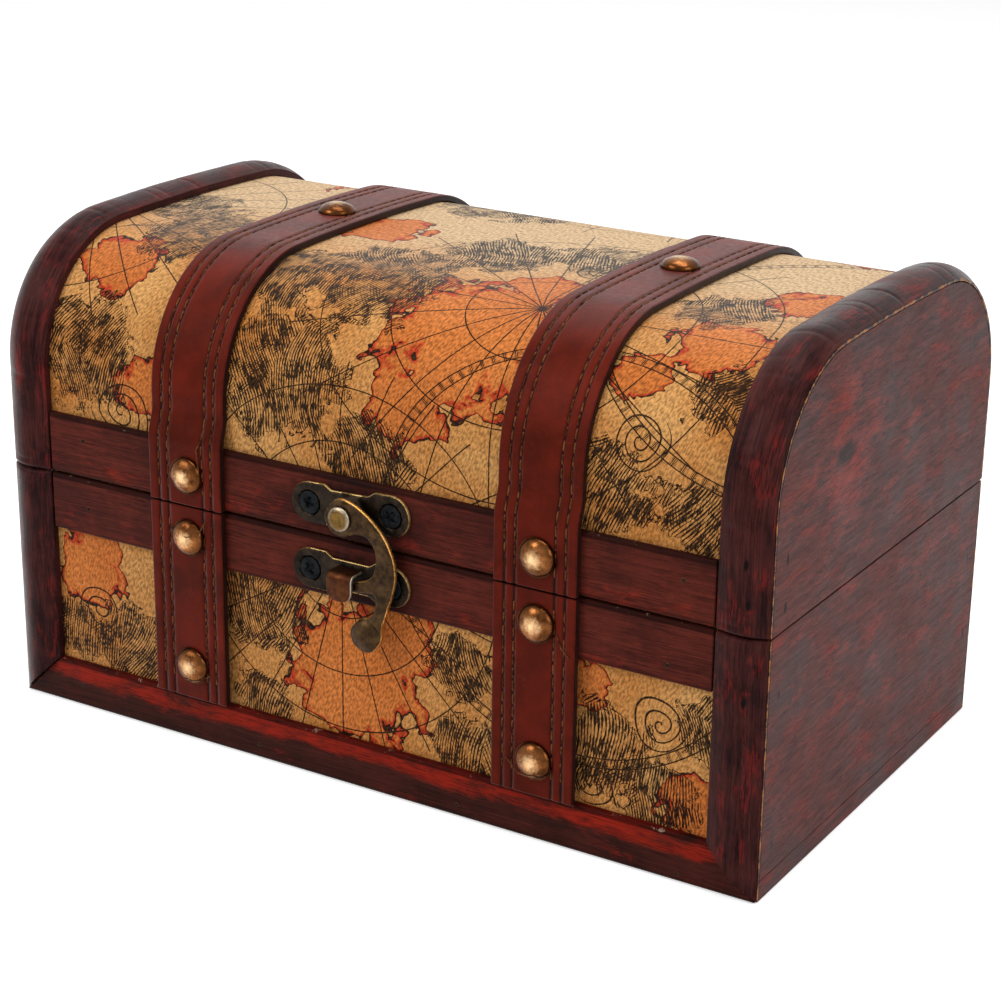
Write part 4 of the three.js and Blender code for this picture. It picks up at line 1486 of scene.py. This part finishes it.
def make_hook():
    """Cast horn with a flat middle, round edges and a ball at its end"""
    middle = (hook_back + hook_face) / 2
    ball_x = pivot_x + hook_ball_share[0] * hook_reach
    ball_z = pivot_height + hook_ball_share[1] * hook_reach

    def half_at(x, z, depth):
        gap = math.hypot(x - ball_x, z - ball_z)
        neck = 1 - eased(gap, hook_ball_radius, hook_neck_start)
        width = hook_round + (hook_neck_round - hook_round) * neck
        flat = hook_thickness / 2 + (hook_neck_half - hook_thickness / 2) * neck
        horn = flat * (0.25 + 0.75 * edge_share(depth, width))
        ball = hook_ball_thickness / 2 * math.sqrt(max(0.0, 1 - (gap / hook_ball_radius) ** 2))
        return max(horn * (1 - eased(hook_ball_radius - gap, *hook_ball_blend)), ball, hook_least_half)

    def front(x, z, depth):
        return -(middle + half_at(x, z, depth))

    def back(x, z, depth):
        return -(middle - half_at(x, z, depth))

    outline = smooth_outline(hook_outline_share, 4)
    skin = cast_skin(outline, front, back, hook_edge_depths, metal_grid_step)
    make_piece("latch_hook_cast", "latch_hook", hook_brass, [skin], ["latch_hook"])


def make_rivet():
    """Rivet with a dished head, which the hook swings on"""
    head = rivet_head_radius
    top = rivet_head_height
    profile = [
        (rivet_radius, -hook_thickness), (head - rivet_foot_inset, 0), (head, rivet_edge), (head, top * 0.45),
        (head - rivet_edge, top * 0.6), (head * 0.7, top * 0.95), (head * 0.64, top),
        (head * 0.58, top * 0.95), (head * 0.3, top * 0.8), (tip_radius, top * 0.75),
    ]
    foot = (pivot_x, -(hook_face + fit_gap), pivot_height)
    skin = turned_skin(profile, foot, (0, -1, 0), 40)
    make_piece("latch_rivet_peened", "lid", rivet_brass, [skin], ["latch_rivet"])


# The whole chest: the pieces made here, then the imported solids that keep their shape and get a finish

make_rails()
make_trims()
make_covers()
make_straps()
make_loose_threads()
make_tacks()
make_brads()
make_latch_plates()
make_tongue()
make_screws()
make_hook()
make_rivet()

for end_name, _ in ENDS:
    for part in ("base", "lid"):
        dress_node(f"{part}_{end_name}_end_panel", panel_wood, panel_wear)
        dress_node(f"hinge_{end_name}_{part}_leaf", hook_brass)
        for number in (1, 2):
            dress_node(f"hinge_{end_name}_{part}_screw_{number}", hook_brass)
    dress_node(f"hinge_{end_name}_pin", hook_brass)
for side_name, _ in SIDES:
    dress_node(f"base_{side_name}_board", inner_wood)
dress_node("bottom_board", panel_wood, bottom_wear)
dress_node("lid_shell", inner_wood)


# Camera at the photograph's angle, with its place and sight in millimetres

camera_azimuth = math.radians(31.433)
camera_elevation = math.radians(20.295)
camera_roll = math.radians(0.641)
camera_place = Vector((319.193, -524.305, 281.676))
nearest_seen = 10
farthest_seen = 20000
picture_side = 1001
focal_pixels = 2475.668
middle_pixel = (491.99, 508.432)
sensor_width = 36.0


def make_camera():
    back = Vector((
        math.sin(camera_azimuth) * math.cos(camera_elevation),
        -math.cos(camera_azimuth) * math.cos(camera_elevation),
        math.sin(camera_elevation),
    ))
    level = Vector((0, 0, 1)).cross(back).normalized()
    upright = back.cross(level)
    right = level * math.cos(camera_roll) + upright * math.sin(camera_roll)
    up = upright * math.cos(camera_roll) - level * math.sin(camera_roll)
    lens = bpy.data.cameras.new("camera")
    lens.sensor_width = sensor_width
    lens.lens = focal_pixels / picture_side * sensor_width
    lens.shift_x = (picture_side / 2 - middle_pixel[0]) / picture_side
    lens.shift_y = (middle_pixel[1] - picture_side / 2) / picture_side
    lens.clip_start = nearest_seen * MM
    lens.clip_end = farthest_seen * MM
    camera = bpy.data.objects.new("camera", lens)
    turn = Matrix((right, up, back)).transposed().to_4x4()
    camera.matrix_world = Matrix.Translation(camera_place * MM) @ turn
    bpy.context.scene.collection.objects.link(camera)
    bpy.context.scene.camera = camera


# Studio, in metres: soft lamps, a pale world and a white floor that keeps the shadow

white = (1, 1, 1, 1)
floor_grey = (0.8, 0.8, 0.8, 1)
floor_glow = 0.5
world_light = 0.42
half_floor = 3.0
floor_drop = 0.3 * MM
lamp_aim = (0, 0, 0.06)
lamps = [
    ("key_softbox", (-0.55, -0.85, 0.9), (0.6, 0.6), 7.6),
    ("right_softbox", (0.95, -0.25, 0.55), (0.5, 0.5), 3.5),
    ("top_softbox", (0.05, 0.1, 1.1), (0.8, 0.4), 6.4),
]


def seen_directly(put):
    """One for rays from the camera, from gloss and through glass"""
    camera_ray = put("light paths")
    rays = camera_ray.node.outputs
    seen = put("maximum", camera_ray, rays["Is Glossy Ray"])
    return put("maximum", seen, rays["Is Transmission Ray"])


def make_world():
    """Lights the scene softly, and is white where it is seen"""
    world = bpy.data.worlds.new("studio")
    bpy.context.scene.world = world
    tree = empty_tree(world)
    put = partial(add_node, tree)
    lit = put("background", white, world_light)
    seen = put("background", white, 1.0)
    both = put("mix shaders", seen_directly(put), lit, seen)
    output = tree.nodes.new("ShaderNodeOutputWorld")
    tree.links.new(both, output.inputs[0])


def make_floor():
    """Matt white, with a glow where it is seen that takes it up to white but for the shadow"""
    material = bpy.data.materials.new("white_studio_floor")
    tree = empty_tree(material)
    put = partial(add_node, tree)
    pale = put("matt paint", floor_grey)
    glow = put("glow", white, floor_glow)
    bright = put("add shaders", pale, glow)
    both = put("mix shaders", seen_directly(put), pale, bright)
    output = tree.nodes.new("ShaderNodeOutputMaterial")
    tree.links.new(both, output.inputs[0])
    corners = [(x * half_floor, y * half_floor, -floor_drop) for x, y in [(-1, -1), (1, -1), (1, 1), (-1, 1)]]
    mesh = bpy.data.meshes.new("floor")
    mesh.from_pydata(corners, [], [(0, 1, 2, 3)])
    mesh.materials.append(material)
    floor = bpy.data.objects.new("floor", mesh)
    bpy.context.scene.collection.objects.link(floor)


def make_lamps():
    for name, place, size, watts in lamps:
        light = bpy.data.lights.new(name, "AREA")
        light.shape = "RECTANGLE"
        light.size, light.size_y = size
        light.energy = watts
        lamp = bpy.data.objects.new(name, light)
        turn = (Vector(lamp_aim) - Vector(place)).to_track_quat("-Z", "Y").to_matrix().to_4x4()
        lamp.matrix_world = Matrix.Translation(place) @ turn
        bpy.context.scene.collection.objects.link(lamp)


make_camera()
make_world()
make_floor()
make_lamps()
bpy.context.scene.view_settings.view_transform = "Standard"
